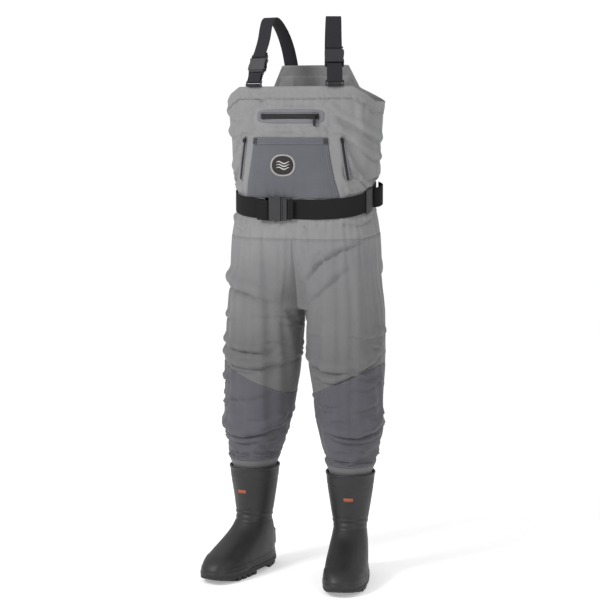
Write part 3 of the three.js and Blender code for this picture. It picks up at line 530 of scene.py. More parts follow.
def foldShift(points, normals):
    total = np.zeros_like(points)
    for part, stations, height, width in folds:
        line = foldLine(part, stations)
        knots = np.concatenate([[0], np.cumsum(np.linalg.norm(np.diff(line, axis=0), axis=1))])
        along = np.arange(0, knots[-1], 2.0)
        samples = np.stack([np.interp(along, knots, line[:, i]) for i in range(3)], axis=1)
        for _ in range(12):  # round the line's corners
            samples[1:-1] = (samples[:-2] + samples[1:-1] * 2 + samples[2:]) / 4
        low = samples.min(axis=0) - 2.2 * width
        high = samples.max(axis=0) + 2.2 * width
        near = np.where(((points > low) & (points < high)).all(axis=1))[0]
        if not len(near):
            continue
        gaps = points[near][:, None, :] - samples[None, :, :]
        squared = (gaps**2).sum(axis=2)
        nearest = squared.argmin(axis=1)
        gap = gaps[np.arange(len(near)), nearest]
        tangent = np.gradient(samples, axis=0)
        tangent /= np.linalg.norm(tangent, axis=1)[:, None]
        normal = normals[near]
        up = np.cross(normal, tangent[nearest])
        up *= np.sign(up[:, 2] + 1e-9)[:, None]
        along = nearest / (len(samples) - 1)
        flat = gap - (gap * normal).sum(axis=1)[:, None] * normal
        side = (flat * up).sum(axis=1)
        length = (flat * tangent[nearest]).sum(axis=1)
        fade = np.clip(np.sin(np.pi * np.clip(along, 0.0, 1.0)), 0, 1) ** 0.6
        fade *= np.exp(-((length / (0.8 * width)) ** 2)) * (np.abs((gap * normal).sum(axis=1)) < 45)
        out = np.exp(-(((side - 0.42 * width) / (0.42 * width)) ** 2))
        out -= 0.62 * np.exp(-(((side + 0.2 * width) / (0.24 * width)) ** 2))
        drop = np.exp(-(((side - 0.14 * width) / (0.26 * width)) ** 2))
        total[near] += (height * fade)[:, None] * (out[:, None] * normal - 0.45 * drop[:, None] * up)
    return total


points, faces, tags, lines = garmentMesh()
rest = np.array([p[:] for p in points])
cloth = toObject("garment", [spot(*p) for p in points], faces, shellCloth)
print("garment cut:", len(points), "points")


def vertexNormals(mesh):
    flat = np.zeros(len(mesh.vertices) * 3)
    mesh.vertices.foreach_get("normal", flat)
    return flat.reshape(-1, 3)


def vertexSpots(mesh):
    flat = np.zeros(len(mesh.vertices) * 3)
    mesh.vertices.foreach_get("co", flat)
    return flat.reshape(-1, 3)


def setSpots(mesh, spots):
    mesh.vertices.foreach_set("co", spots.ravel())
    mesh.update()


def bell(value, middle, reach):
    return np.exp(-(((value - middle) / reach) ** 2))


restNormals = vertexNormals(cloth.data)


def heldShare():
    x, y, z = rest.T
    heights = [878, 906, 942, 994, 1029, 1069, 1110]
    level = z - np.interp(z, heights, [0.08, 0.15, 0.28, 0.28, 0.2, 0.1, 0.0]) * y
    held = np.full(len(rest), 0.04)
    held = np.maximum(held, np.clip(1.6 - np.abs(level - 968) / 24, 0, 1))  # under the belt
    top = np.where(y < 0, np.interp(np.abs(x), [150, 180, 197], [1243, 1225, 1207]),
                   np.interp(np.abs(x), [90, 118, 197], [1300, 1243, 1207]))
    held = np.maximum(held, np.clip(1.5 - (top - z) / 26, 0, 1))  # hems
    held = np.maximum(held, 0.5 * bell(z, 878, 5) * (z > 860))  # hip seam
    held = np.maximum(held, np.clip((306 - z) / 14, 0, 1))  # in the boots
    front = y < -60
    pocket = front & (np.abs(x + 4) < 134) & (z > 930) & (z < 1122)
    zips = front & (np.abs(x + 5) < 98) & (z > 1146) & (z < 1192)
    held[pocket | zips] = 1
    return np.clip(held, 0, 1)


held = heldShare()
free = 1 - held


def drape(growth=0.06, frames=26, cap=13):
    sim = cloth.copy()
    sim.data = cloth.data.copy()
    bpy.context.scene.collection.objects.link(sim)
    spots = vertexSpots(sim.data)
    spots -= restNormals * (free * 0.0015)[:, None]
    setSpots(sim.data, spots)
    group = sim.vertex_groups.new(name="held")
    for index, weight in enumerate(held):
        group.add([index], float(weight), "REPLACE")
    modifier = sim.modifiers.new("drape", "CLOTH")
    settings = modifier.settings
    settings.quality = 6
    settings.mass = 0.25
    settings.tension_stiffness = 30
    settings.compression_stiffness = 30
    settings.shear_stiffness = 12
    settings.bending_stiffness = 1.2
    settings.tension_damping = 8
    settings.compression_damping = 8
    settings.vertex_group_mass = "held"
    settings.shrink_min = -growth
    settings.use_pressure = True
    settings.uniform_pressure_force = 0.7
    settings.effector_weights.gravity = 0.35
    modifier.collision_settings.use_collision = False
    modifier.point_cache.frame_start = 1
    modifier.point_cache.frame_end = frames
    for number in range(1, frames + 1):
        scene.frame_set(number)
    shown = sim.evaluated_get(bpy.context.evaluated_depsgraph_get())
    moved = vertexSpots(shown.to_mesh()) - vertexSpots(cloth.data)
    bpy.data.objects.remove(sim)
    scene.frame_set(1)
    length = np.linalg.norm(moved, axis=1)
    limit = cap * 0.001
    moved *= (limit * np.tanh(length / limit) / np.maximum(length, 1e-9))[:, None]
    return moved


scene = bpy.context.scene
shift = np.zeros_like(rest)
shift += drape()
print("garment draped: moved up to", round(float(np.abs(shift).max()) * 1000, 1), "mm")
shift += foldShift(rest, restNormals) * 0.001 * free[:, None] ** 0.5
setSpots(cloth.data, vertexSpots(cloth.data) + shift)

# ---- panels, each lapped over its neighbour

panelSizes = {
    "liftMm": {"hem": 1.3, "panel": 0.95, "leg": 0.7},
    "thickMm": {"hem": 1.6, "panel": 0.8, "leg": 0.8, "cuff": 0.8, "front": 0.8, "back": 0.8},
}
spots = vertexSpots(cloth.data)
normals = vertexNormals(cloth.data)
for name in sorted({part for owners in tags for part in owners}):
    kind = name.split("_")[-1]
    lift = panelSizes["liftMm"].get(kind, 0)
    numbers = {}
    panelFaces = []
    for quad, owners in zip(faces, tags):
        if name in owners:
            panelFaces.append([numbers.setdefault(i, len(numbers)) for i in quad])
    order = np.array(list(numbers))
    placed = spots[order] + normals[order] * lift * 0.001
    # legs and cuffs take the shell cloth with painted shade
    look = {"panel": panelCloth, "leg": legCloth, "cuff": legCloth}.get(kind, shellCloth)
    panel = toObject(name.replace("_", "") + "Cloth", placed, panelFaces, look)
    wall = panel.modifiers.new("wall", "SOLIDIFY")
    wall.thickness = panelSizes["thickMm"][kind] * 0.001
    wall.offset = -1
    baked(panel)
    panel.data.shade_smooth()
    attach(panel, "garment")
    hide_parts(name)
bpy.data.objects.remove(cloth)
for side in ("right", "left"):
    boot = f"{side}_boot"


# ---- stitches

thread = plainMaterial("thread", "#6a6a6c", 0.7)  # polyester sewing thread


def stitchGroup():
    tree = bpy.data.node_groups.new("stitches", "GeometryNodeTree")
    tree.interface.new_socket("Path", in_out="INPUT", socket_type="NodeSocketGeometry")
    kinds = {key: "NodeSocketFloat" for key in ("Pitch", "Length", "Radius")} | {"Look": "NodeSocketMaterial"}
    found = {}
    for key, kind in kinds.items():
        found[key] = tree.interface.new_socket(key, in_out="INPUT", socket_type=kind).identifier
    tree.interface.new_socket("Stitches", in_out="OUTPUT", socket_type="NodeSocketGeometry")
    given = addNode(tree, "NodeGroupInput").outputs
    curve = addNode(tree, "GeometryNodeMeshToCurve", {"Mesh": given["Path"]})
    spacing = {"Curve": curve.outputs[0], "Length": given["Pitch"]}
    even = result(tree, "GeometryNodeResampleCurve", spacing, mode="LENGTH")
    tangent = result(tree, "GeometryNodeInputTangent")
    turn = result(tree, "FunctionNodeAlignRotationToVector", {"Vector": tangent}, axis="Z")
    radius = given["Radius"]
    rod = {"Vertices": 6, "Radius Top": radius, "Radius Bottom": radius, "Depth": given["Length"]}
    dash = result(tree, "GeometryNodeMeshCone", rod)
    middle = result(tree, "ShaderNodeCombineXYZ", {"Z": calculated(tree, "MULTIPLY", given["Length"], -0.5)})
    centred = result(tree, "GeometryNodeTransform", {"Geometry": dash, "Translation": middle})
    points = {"Points": even, "Instance": centred, "Rotation": turn}
    placed = result(tree, "GeometryNodeInstanceOnPoints", points)
    real = result(tree, "GeometryNodeRealizeInstances", {"Geometry": placed})
    dressed = result(tree, "GeometryNodeSetMaterial", {"Geometry": real, "Material": given["Look"]})
    out = addNode(tree, "NodeGroupOutput")
    tree.links.new(dressed, out.inputs["Stitches"])
    return tree, found


stitchTree, stitchSocket = stitchGroup()


def sew(name, paths, body="garment", pitch=0.0034, length=0.0024, radius=0.00034, look=None):
    vertices, edges = [], []
    for path in paths:
        start = len(vertices)
        vertices += [tuple(p) for p in path]
        edges += [(i, i + 1) for i in range(start, len(vertices) - 1)]
    mesh = bpy.data.meshes.new(name)
    mesh.from_pydata(vertices, edges, [])
    obj = bpy.data.objects.new(name, mesh)
    bpy.context.scene.collection.objects.link(obj)
    modifier = obj.modifiers.new("stitches", "NODES")
    modifier.node_group = stitchTree
    values = {"Pitch": pitch, "Length": length, "Radius": radius, "Look": look or thread}
    for key, value in values.items():
        modifier[stitchSocket[key]] = value
    baked(obj)
    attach(obj, body)
    return obj


def seamPath(rows, j, share, lift, columns=None, closed=True):
    columns = list(range(len(rows[j]))) if columns is None else columns
    path = []
    for k in columns + ([columns[0]] if closed else []):
        a, b = rows[j][k], rows[j + 1][k]
        path.append(spots[a] * (1 - share) + spots[b] * share + normals[a] * (lift + 0.15) * 0.001)
    return path


hemEdge = garment["hemRows"]
hipEdge = hemEdge + garment["bibRows"]
torso = lines["torso"]
paths = [
    seamPath(torso, hemEdge - 1, 0.35, 1.3),
    seamPath(torso, hipEdge, 0.4, 0.7),
    seamPath(torso, hipEdge + 1, 0.4, 0.7),
]
for k, step in ((0, 1), (0, -1), (100, 1), (100, -1)):  # middle seams, both sides of each
    column = [rows[k] for rows in torso[hipEdge + 2 :]]
    beside = [rows[(k + step) % 200] for rows in torso[hipEdge + 2 :]]
    paths.append([spots[a] * 0.5 + spots[b] * 0.5 + normals[a] * 0.00085 for a, b in zip(column, beside)])
for k, step in ((50, 1), (150, -1)):  # side seams of the bib
    column = [rows[k] for rows in torso[1:hipEdge]]
    beside = [rows[(k + step) % 200] for rows in torso[1:hipEdge]]
    paths.append([spots[a] * 0.5 + spots[b] * 0.5 + normals[a] * 0.0003 for a, b in zip(column, beside)])
for side in ("left", "right"):
    rows = lines[side]
    knee = garment["thighRows"]
    paths.append(seamPath(rows, knee, 0.5, 0.95))
    paths.append(seamPath(rows, knee + 1, 0.3, 0.95))
    paths.append(seamPath(rows, knee + garment["shinRows"] - 1, 0.4, 0.95))
sew("clothStitches", paths)

# ---- boots

bootRows = (
    (272, 68, 68, 62, 0), (232, 64, 64, 58.5, 0), (190, 57, 58, 52, 0), (150, 54, 53, 45.5, 0.01),
    (130, 60, 52, 42.5, 0.02), (112, 78, 58, 44.5, 0.05), (96, 106, 64, 47, 0.08), (79, 145, 68, 49, 0.1),
    (67, 175, 70, 50.5, 0.11), (54, 200, 71, 51.5, 0.12), (41, 213, 71, 51.5, 0.12), (22, 216, 71, 51, 0.12),
)
levels = np.arange(22, 273)
bootTable = np.array([rowAt(bootRows, float(z)) for z in levels])
for _ in range(40):
    bootTable[1:-1] = (bootTable[:-2] + bootTable[1:-1] * 2 + bootTable[2:]) / 4
bootSizes = {
    "columns": 120, "rowMm": 2.6, "wallMm": 4, "soleTop": 22, "flange": 4.2, "top": 272,
}
ankle = (131, -27)


def bootGrow(phi, z):
    turn = (phi + math.pi) % (2 * math.pi) - math.pi
    front = math.cos(turn)
    g = 1.7 * math.exp(-(((z - 268.5) / 3.2) ** 2)) + 0.5 * ease(238, 241, z)
    g -= 0.8 * math.exp(-(((z - 237) / 1.6) ** 2))
    # creases where the ankle bends
    for middle, depth, slant in ((150, 1.5, 7), (138, 2.3, 9), (127, 1.6, 5)):
        g -= depth * math.exp(-(((z - middle - slant * front) / 3.6) ** 2)) * (0.35 + 0.65 * abs(front))
    g += 1.8 * math.exp(-(((z - 144 - 8 * front) / 5) ** 2)) * (0.4 + 0.6 * max(front, 0))
    # toe cap, foxing band, welt and heel kick, each with a rounded edge
    capTop = 66 - 26 * (abs(turn) / 1.3) ** 3
    g += 2.2 * ease(1.42, 1.34, abs(turn)) * ease(capTop + 1.6, capTop - 1.6, z)
    g += 1.3 * ease(40, 38, z) + 1.4 * ease(30.5, 29, z)
    g += 2.6 * ease(0.62, 0.54, math.pi - abs(turn)) * ease(50, 53, z) * ease(96, 93, z)
    g += 1.6 * ease(0.66, 0.58, math.pi - abs(turn)) * math.exp(-(((z - 88) / 2.6) ** 2))
    # ridges over the instep
    for side in (0.62, -0.62):
        g += 0.9 * math.exp(-(((turn - side) / 0.045) ** 2)) * ease(66, 74, z) * ease(128, 112, z)
    return g


def bootPoint(phi, z, grow=0.0):
    toe, heel, half, flare = (float(np.interp(z, levels, bootTable[:, i])) for i in range(4))
    roundness = 2 / (2 + 3 * flare)
    forward = power(math.cos(phi), roundness)
    across = power(math.sin(phi), roundness) * (half + grow) * (1 + flare * forward)
    across -= flare * 70 * max(forward, 0) ** 2
    return across, (toe - heel) / 2 + ((toe + heel) / 2 + grow) * forward


def bootPlace(sign, across, forward, z):
    c, s = math.cos(toeOut), math.sin(toeOut)
    return spot(sign * (ankle[0] + across * c + forward * s), ankle[1] + across * s - forward * c, z)


def loft(name, rings, material, closed=True, caps=False):
    size = len(rings[0])
    spans = size if closed else size - 1
    quads = []
    for j in range(len(rings) - 1):
        for k in range(spans):
            n = (k + 1) % size
            quads.append((j * size + k, j * size + n, (j + 1) * size + n, (j + 1) * size + k))
    if caps:
        quads.append(tuple(reversed(range(size))))
        quads.append(tuple(range((len(rings) - 1) * size, len(rings) * size)))
    return toObject(name, [p for ring in rings for p in ring], quads, material)


def outwards(obj):
    mesh = bmesh.new()
    mesh.from_mesh(obj.data)
    bmesh.ops.recalc_face_normals(mesh, faces=mesh.faces)
    mesh.to_mesh(obj.data)
    mesh.free()
    return obj


def keepFlats(obj):
    mesh = obj.data
    mesh.shade_smooth()
    shown = bmesh.new()
    shown.from_mesh(mesh)
    for edge in shown.edges:
        edge.smooth = len(edge.link_faces) == 2 and edge.calc_face_angle(0) < math.radians(42)
    shown.to_mesh(mesh)
    shown.free()
    weighted = obj.modifiers.new("shading", "WEIGHTED_NORMAL")
    weighted.keep_sharp = True
    baked(obj)


def finishedNode(name, bevelMm, look, segments=3, angle=30):
    source = nodes[name]
    obj = bpy.data.objects.new(name.replace("_", "") + "Look", source.data.copy())
    bpy.context.scene.collection.objects.link(obj)
    obj.matrix_world = source.matrix_world
    mesh = bmesh.new()
    mesh.from_mesh(obj.data)
    bmesh.ops.remove_doubles(mesh, verts=mesh.verts, dist=0.00002)
    bmesh.ops.dissolve_limit(mesh, angle_limit=math.radians(2), verts=mesh.verts, edges=mesh.edges)
    mesh.to_mesh(obj.data)
    mesh.free()
    obj.data.materials.clear()
    obj.data.materials.append(look)
    bevel = obj.modifiers.new("edges", "BEVEL")
    bevel.width = bevelMm * 0.001
    bevel.segments = segments
    bevel.limit_method = "ANGLE"
    bevel.angle_limit = math.radians(angle)
    bevel.use_clamp_overlap = True
    baked(obj)
    keepFlats(obj)
    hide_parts(name)
    return obj


for side, sign in (("right", -1), ("left", 1)):
    phis = [2 * math.pi * k / bootSizes["columns"] for k in range(bootSizes["columns"])]
    rowCount = int((bootSizes["top"] - bootSizes["soleTop"]) / bootSizes["rowMm"])
    rings = []
    for j in range(rowCount + 1):
        z = lerp(bootSizes["soleTop"], bootSizes["top"], j / rowCount)
        rings.append([bootPlace(sign, *bootPoint(p, z, bootGrow(p, z)), z) for p in phis])
    boot = outwards(loft(side + "Boot", rings, bootRubber))
    probe = boot.data.polygons[0]
    middle = spot(sign * ankle[0], ankle[1], 0)
    if (probe.center - middle).to_2d().dot(probe.normal.to_2d()) < 0:
        boot.data.flip_normals()
    wall = boot.modifiers.new("wall", "SOLIDIFY")
    wall.thickness = bootSizes["wallMm"] * 0.001
    wall.offset = -1
    baked(boot)
    boot.data.shade_smooth()
    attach(boot, "garment")
    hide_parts(f"{side}_boot", f"{side}_toe_cap", f"{side}_heel_kick")

    def soleRing(grow, z, spring):
        ring = []
        for p in phis:
            across, forward = bootPoint(p, 22, grow)
            level = max(z, (forward - 150) * 14 / 66 - 0.4 + spring) if spring is not None else z
            ring.append(bootPlace(sign, across, forward, level))
        return ring

    flange = bootSizes["flange"]
    soleRings = [
        soleRing(flange - inset, z, spring)
        for inset, z, spring in (
            (3.5, 10.6, 0.0), (1.2, 10.7, 0.1), (0.2, 11.6, 0.8), (0, 13, 2.0), (0, 16, 3.6),
            (0.9, 16.7, 4.0), (0.9, 17.3, 4.4), (0, 18, 5.0), (0, 20.8, 6.6), (0.4, 21.9, None),
            (1.4, 22.5, None), (6, 22.6, None),
        )
    ]
    rim = outwards(loft(side + "SoleEdge", soleRings, soleRubber, caps=True))
    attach(rim, "garment")
    tread = finishedNode(f"{side}_outsole", 1.0, soleRubber, segments=2)
    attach(tread, "garment")
print("boots made")

# ---- webbing


def catmull(pointList, count):
    pts = [Vector(p) for p in pointList]
    pts = [pts[0] * 2 - pts[1]] + pts + [pts[-1] * 2 - pts[-2]]
    out = []
    spans = len(pts) - 3
    for i in range(count + 1):
        whole = i / count * spans
        k = min(int(whole), spans - 1)
        t = whole - k
        a, b, c, d = pts[k : k + 4]
        square, cube = 2 * a - 5 * b + 4 * c - d, 3 * b - a - 3 * c + d
        out.append(0.5 * ((2 * b) + (c - a) * t + square * t * t + cube * t**3))
    return out


def resampled(path, stepMm, closed=False):
    path = [Vector(p) for p in path]
    if closed:
        path = path + [path[0]]
    knots = [0.0]
    for p, q in zip(path, path[1:]):
        knots.append(knots[-1] + (q - p).length)
    count = max(2, int(round(knots[-1] / stepMm)))
    xs = np.linspace(0, knots[-1], count + 1)
    px = np.interp(xs, knots, [p[0] for p in path])
    py = np.interp(xs, knots, [p[1] for p in path])
    pairs = np.stack([px, py], axis=1)
    return (pairs[:-1] if closed else pairs), xs


def rounded(pairs, rounds, closed=False):
    for _ in range(rounds):
        if closed:
            pairs = (np.roll(pairs, 1, axis=0) + 2 * pairs + np.roll(pairs, -1, axis=0)) / 4
        else:
            pairs[1:-1] = (pairs[:-2] + 2 * pairs[1:-1] + pairs[2:]) / 4
    return pairs


def band(name, path, width, thick, place, look, body, swaps, stepMm=2.0, closed=False, soften=2, wave=0.0):
    pairs, lengths = resampled(path, stepMm, closed)
    pairs = rounded(pairs, soften, closed)
    if closed:
        tangent = np.roll(pairs, -1, axis=0) - np.roll(pairs, 1, axis=0)
    else:
        tangent = np.gradient(pairs, axis=0)
    tangent /= np.maximum(np.linalg.norm(tangent, axis=1), 1e-9)[:, None]
    half = thick / 2
    reach = width / 2 - half
    profile = [(u, half) for u in np.linspace(-reach, reach, 9)]
    profile += [(reach + half * 0.75, half * 0.6), (reach + half, 0), (reach + half * 0.75, -half * 0.6)]
    profile += [(u, -half) for u in np.linspace(reach, -reach, 9)]
    profile += [(-reach - half * 0.75, -half * 0.6), (-reach - half, 0), (-reach - half * 0.75, half * 0.6)]
    points, uvs = [], []
    for (p, q), (dp, dq), along in zip(pairs, tangent, lengths):
        for across, out in profile:
            lift = out + wave * math.sin(along * 0.11) * math.cos(across / width * 5)
            points.append(place(p - dq * lift, q + dp * lift, across))
            uvs.append((across * 0.001, along * 0.001))
    size = len(profile)
    quads = []
    spans = len(pairs) if closed else len(pairs) - 1
    for i in range(spans):
        j = (i + 1) % len(pairs)
        for k in range(size):
            n = (k + 1) % size
            quads.append((i * size + k, i * size + n, j * size + n, j * size + k))
    if not closed:
        quads.append(tuple(range(size)))
        quads.append(tuple(reversed(range((len(pairs) - 1) * size, len(pairs) * size))))
    obj = outwards(toObject(name, points, quads, look))
    layer = obj.data.uv_layers.new(name="weave")
    for loop in obj.data.loops:
        layer.data[loop.index].uv = uvs[loop.vertex_index]
    for polygon in obj.data.polygons:
        if len(polygon.vertices) > 4:
            polygon.use_smooth = False
    if body:
        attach(obj, body)
    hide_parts(*swaps)
    return obj


strapSizes = {
    "width": 38, "thick": 1.8, "pivotY": 88, "anchorY": -88, "anchorZ": 1250, "lean": 0.4,
}
strapEnds = {"right": (-64, -107), "left": (38, 107)}
leanLength = math.hypot(1, strapSizes["lean"])
leanUp = (-strapSizes["lean"] / leanLength, 1 / leanLength)
bridle = 4.1
for side, sign in (("right", -1), ("left", 1)):
    back, front = strapEnds[side]
    reach = math.hypot(front - back, strapSizes["anchorY"] - strapSizes["pivotY"])
    ahead = ((front - back) / reach, (strapSizes["anchorY"] - strapSizes["pivotY"]) / reach)
    yaw = math.atan2(ahead[0], -ahead[1])

    def plan(s, z, w, back=back, ahead=ahead, yaw=yaw):
        turned = yaw * min(max(s / 70, 0), 1)
        x = back + s * ahead[0] + w * math.cos(turned)
        return spot(x, strapSizes["pivotY"] + s * ahead[1] + w * math.sin(turned), z)

    def face(q, d, reach=reach):
        return (reach + leanUp[0] * q + leanUp[1] * d, strapSizes["anchorZ"] + leanUp[1] * q - leanUp[0] * d)

    below = sign > 0
    meet = 86 if below else 35.5
    upperBar = meet + 8.5 if below else meet + 36
    lowerBar = meet - 36 if below else meet - 8.5
    scale = reach / 183
    arch = [
        (0.4, 1239.7), (6.5, 1268), (13.5, 1301), (30, 1345), (54, 1382), (82, 1408), (105, 1417),
        (120, 1410), (129, 1391),
    ]
    sewn = [(-8.2, 1190), (-6.2, 1207), (-3.2, 1224), (-0.7, 1235.2)]
    straight = [face(q, 0) for q in ((130, 121) if below else (126, 108))]
    route = catmull(sewn + [(s * scale, z) for s, z in arch] + straight, 90)
    turn = upperBar - 2.2
    hook = [
        (18, 2.2), (8, bridle), (3, bridle), (0.7, bridle - 1), (0, 1.6), (0, -1.6), (0.7, 1 - bridle),
        (3, -bridle), (16, 1 - bridle),
    ]
    route += [Vector(face(turn + q, d)) for q, d in hook]
    strap = band(
        side + "Strap", route, strapSizes["width"], strapSizes["thick"], plan, strapWebbing, None,
        (f"{side}_strap", f"{side}_strap_end"), stepMm=2.2,
    )
    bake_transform(strap)
    low, high = 2.6, lowerBar + 2.2
    ring = [
        (low, 1.6), (low + 0.7, bridle - 1), (low + 3, bridle),
        (high - 3, bridle), (high - 0.7, bridle - 1), (high, 1.6),
        (high, -1.6), (high - 0.7, 1 - bridle), (high - 3, -bridle),
        (low + 3, -bridle), (low + 0.7, 1 - bridle), (low, -1.6),
    ]
    band(
        side + "AnchorWeb", [face(q, d) for q, d in ring], strapSizes["width"], strapSizes["thick"], plan,
        strapWebbing, "garment", (f"{side}_anchor_web",), stepMm=1.2, closed=True, soften=1,
    )
    overHem = [
        (reach - 12.9, 1215), (reach - 12.9, 1241), (reach - 11, 1247), (reach - 6, 1249.2), (reach, 1249.4),
        (reach + 4.4, 1249.2), (reach + 7, 1246.8), (reach + 8, 1243.2),
    ]
    band(
        side + "AnchorTab", overHem, 34, 1.6, plan, strapWebbing, "garment", (f"{side}_anchor_tab",),
        stepMm=1.2, soften=1,
    )

# ---- belt

beltRow = rowAt(torsoRows, 968)
beltSizes = {"width": 50, "thick": 2.2, "frontY": -(beltRow[1] + 2.2), "buckleX": -26, "standOff": 6.3}


def beltPlan(theta, lift=4.2):
    def flat(angle):
        p = torsoPoint(angle, 968.0)
        return Vector((p.x, p.y))

    along = (flat(theta + 0.01) - flat(theta - 0.01)).normalized()
    p = flat(theta) + Vector((along.y, -along.x)) * lift
    return (p.x, p.y if lift > 4.2 else max(p.y, beltSizes["frontY"]))


def onBelt(x, y, w):
    return spot(x, y, 968 + w + beltRow[3] * y)


def outwardY(d):
    return beltSizes["frontY"] - d


barTurn = -59.6
hook = [
    (-30, 2.1), (-14, 4.3), (-11, 4.7), (-3, 4.7), (-0.8, 3.7), (0, 1.8), (0, -1.8), (-0.8, -3.7), (-3, -4.7),
    (-12, -4.7),
]
route = [(barTurn + along, outwardY(beltSizes["standOff"] + out)) for along, out in hook]
angles = [math.acos(min(x / beltRow[0], 1) ** 1.4) for x in (90, 50)]
route += [beltPlan(lerp(math.pi + angles[0], -angles[1], i / 220)) for i in range(221)]
route.append((-22, beltSizes["frontY"]))
beltWidth, beltThick = beltSizes["width"], beltSizes["thick"]
band("belt", route, beltWidth, beltThick, onBelt, beltWebbing, "garment", ("belt",), stepMm=2.4)
frontZ = 968 + beltRow[3] * beltSizes["frontY"]


def onFold(along, out, across):
    return spot(beltSizes["buckleX"] + along, outwardY(beltSizes["standOff"] + out), frontZ + across)


band(
    "beltFold", [(33, 3.4), (25, 4.2), (20, 4.1), (18, 1.8), (18, -1.2), (19.4, -3.7)], 49, 1.6, onFold,
    beltWebbing, "belt_buckle", ("belt_fold",), stepMm=1.0, soften=1,
)
sideX = beltPlan(0)[0]
tailPoints = ((2.6, -4), (9, -3), (17, 6), (18.5, 22), (11, 34), (0.5, 44))
tail = catmull([(sideX + x, y) for x, y in tailPoints], 40)
band("beltTail", tail, beltWidth, 1.8, onBelt, beltWebbing, "garment", ("belt_tail_loop",), stepMm=1.6)
print("webbing made")

# ---- moulded pieces

moulded = {
    "right_strap_buckle_female": "right_strap", "right_strap_buckle_male": "garment",
    "left_strap_buckle_female": "garment", "left_strap_buckle_male": "left_strap",
    "belt_buckle_female": "garment", "belt_buckle_male": "belt_buckle", "belt_adjuster": "garment",
    "right_anchor_loop": "garment", "left_anchor_loop": "garment",
}
for name, body in moulded.items():
    piece = finishedNode(name, 0.9 if "loop" in name else 1.1, acetal)
    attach(piece, body)

for name in ("right_belt_keeper", "left_belt_keeper"):
    keeper = finishedNode(name, 0.4, shellCloth)
    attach(keeper, "garment")

# ---- pocket, zips and badge


def frontSpot(x, z, lift=0.0):
    def at(x, z):
        v, y = z, 0.0
        for _ in range(6):
            a, f, _, tilt = rowAt(torsoRows, round(v, 3))
            y = -f * (1 - min(abs(x) / a, 0.999) ** squareness) ** (1 / squareness)
            v = z - tilt * y
        return Vector((x, y, z))

    p = at(x, z)
    normal = (at(x + 1, z) - at(x - 1, z)).cross(at(x, z + 1) - at(x, z - 1)).normalized()
    return spot(*(p + normal * lift))


def gridSheet(name, place, columns, rows, look, thickMm):
    points = [place(i / columns, j / rows) for j in range(rows + 1) for i in range(columns + 1)]
    quads = []
    for j in range(rows):
        for i in range(columns):
            a = j * (columns + 1) + i
            quads.append((a, a + 1, a + columns + 2, a + columns + 1))
    obj = toObject(name, points, quads, look)
    wall = obj.modifiers.new("wall", "SOLIDIFY")
    wall.thickness = thickMm * 0.001
    wall.offset = -1
    baked(obj)
    obj.data.shade_smooth()
    return obj


pocket = {
    "x": -4, "top": 1116, "bottom": 967, "topHalf": 98, "bottomHalf": 123, "flare": 140, "hem": 17,
    "lift": 1.6, "puff": 3.2,
}


def pocketHalf(z):
    share = max((pocket["top"] - z) / pocket["flare"], 0)
    return lerp(pocket["topHalf"], pocket["bottomHalf"], min(share, 1) ** 1.3)


def pocketLift(u, z):
    edge = (1 - abs(u) ** 6) ** 0.5
    height = (z - pocket["bottom"]) / (pocket["top"] - pocket["bottom"])
    rise = math.sin(math.pi * min(max(height, 0), 1) ** 0.8)
    puff = pocket["puff"] * edge * rise
    # gathers where the belt draws the cloth in
    gather = 1.3 * math.exp(-(((z - pocket["bottom"]) / 22) ** 2))
    gather *= math.sin(u * 27 + 2.2 * math.sin(u * 5 + 1)) * (1 - abs(u) ** 4)
    ripple = 0.7 * math.sin(u * 7 + z * 0.05) * math.sin(z * 0.07 - u * 3) * edge * rise
    return pocket["lift"] * (0.35 + 0.65 * edge) + puff + gather * 0.8 + ripple + 0.5


def pocketSpot(u, z, extra=0.0):
    return frontSpot(pocket["x"] + u * pocketHalf(z), z, pocketLift(u, z) + extra)


def pocketPlace(i, j):
    return pocketSpot(lerp(-1, 1, i), lerp(pocket["bottom"], pocket["top"], j))


pocketPanel = gridSheet("pocketPanel", pocketPlace, 110, 74, pocketCloth, 0.8)
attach(pocketPanel, "garment")
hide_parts("kangaroo_pocket")


def hemPlace(i, j):
    z = lerp(pocket["top"] - pocket["hem"], pocket["top"] + 0.6, j)
    return pocketSpot(lerp(-1, 1, i), z, 0.9 + 0.5 * math.sin(math.pi * j))


pocketHem = gridSheet("pocketHem", hemPlace, 110, 8, pocketCloth, 1.0)
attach(pocketHem, "garment")
across = np.linspace(-0.985, 0.985, 120).tolist()
upwards = np.linspace(pocket["bottom"] + 4, pocket["top"] - 4, 90).tolist()
paths = []
for below, lift in ((14.6, 1.4), (2.4, 1.5)):  # both edges of the hem
    paths.append([pocketSpot(u, pocket["top"] - below, lift) for u in across])
for u in (-0.975, -0.925, 0.925, 0.975):
    lifts = [0.15 + 1.4 * ease(pocket["top"] - 18, pocket["top"] - 16, z) for z in upwards]
    paths.append([pocketSpot(u, z, lift) for z, lift in zip(upwards, lifts)])
darkThread = plainMaterial("darkThread", "#77787e", 0.7)
sew("pocketStitches", paths, look=darkThread)
bars = []
for side in (-1, 1):
    for step in range(9):
        z = pocket["top"] - 1.5 - step * 1.7
        bars.append([pocketSpot(side * 0.985, z, 1.7), pocketSpot(side * 0.9, z, 1.7)])
tackThread = plainMaterial("tackThread", "#2c2c30", 0.7)
sew("barTacks", bars, pitch=0.0026, length=0.0026, radius=0.0006, look=tackThread)


def roundedBox(phi, long, high, sharp=7):
    return long * power(math.cos(phi), 2 / sharp), high * power(math.sin(phi), 2 / sharp)


tapeLook = fabricMaterial("weldedTape", "#626267", "#6c6c71", rough=0.6, bump=0.1)
zipCloth = fabricMaterial("zipCloth", "#161617", "#202021", rough=0.75, bump=0.5)
chestZip = {"x": -5, "z": 1169, "half": 76, "high": 6.5}


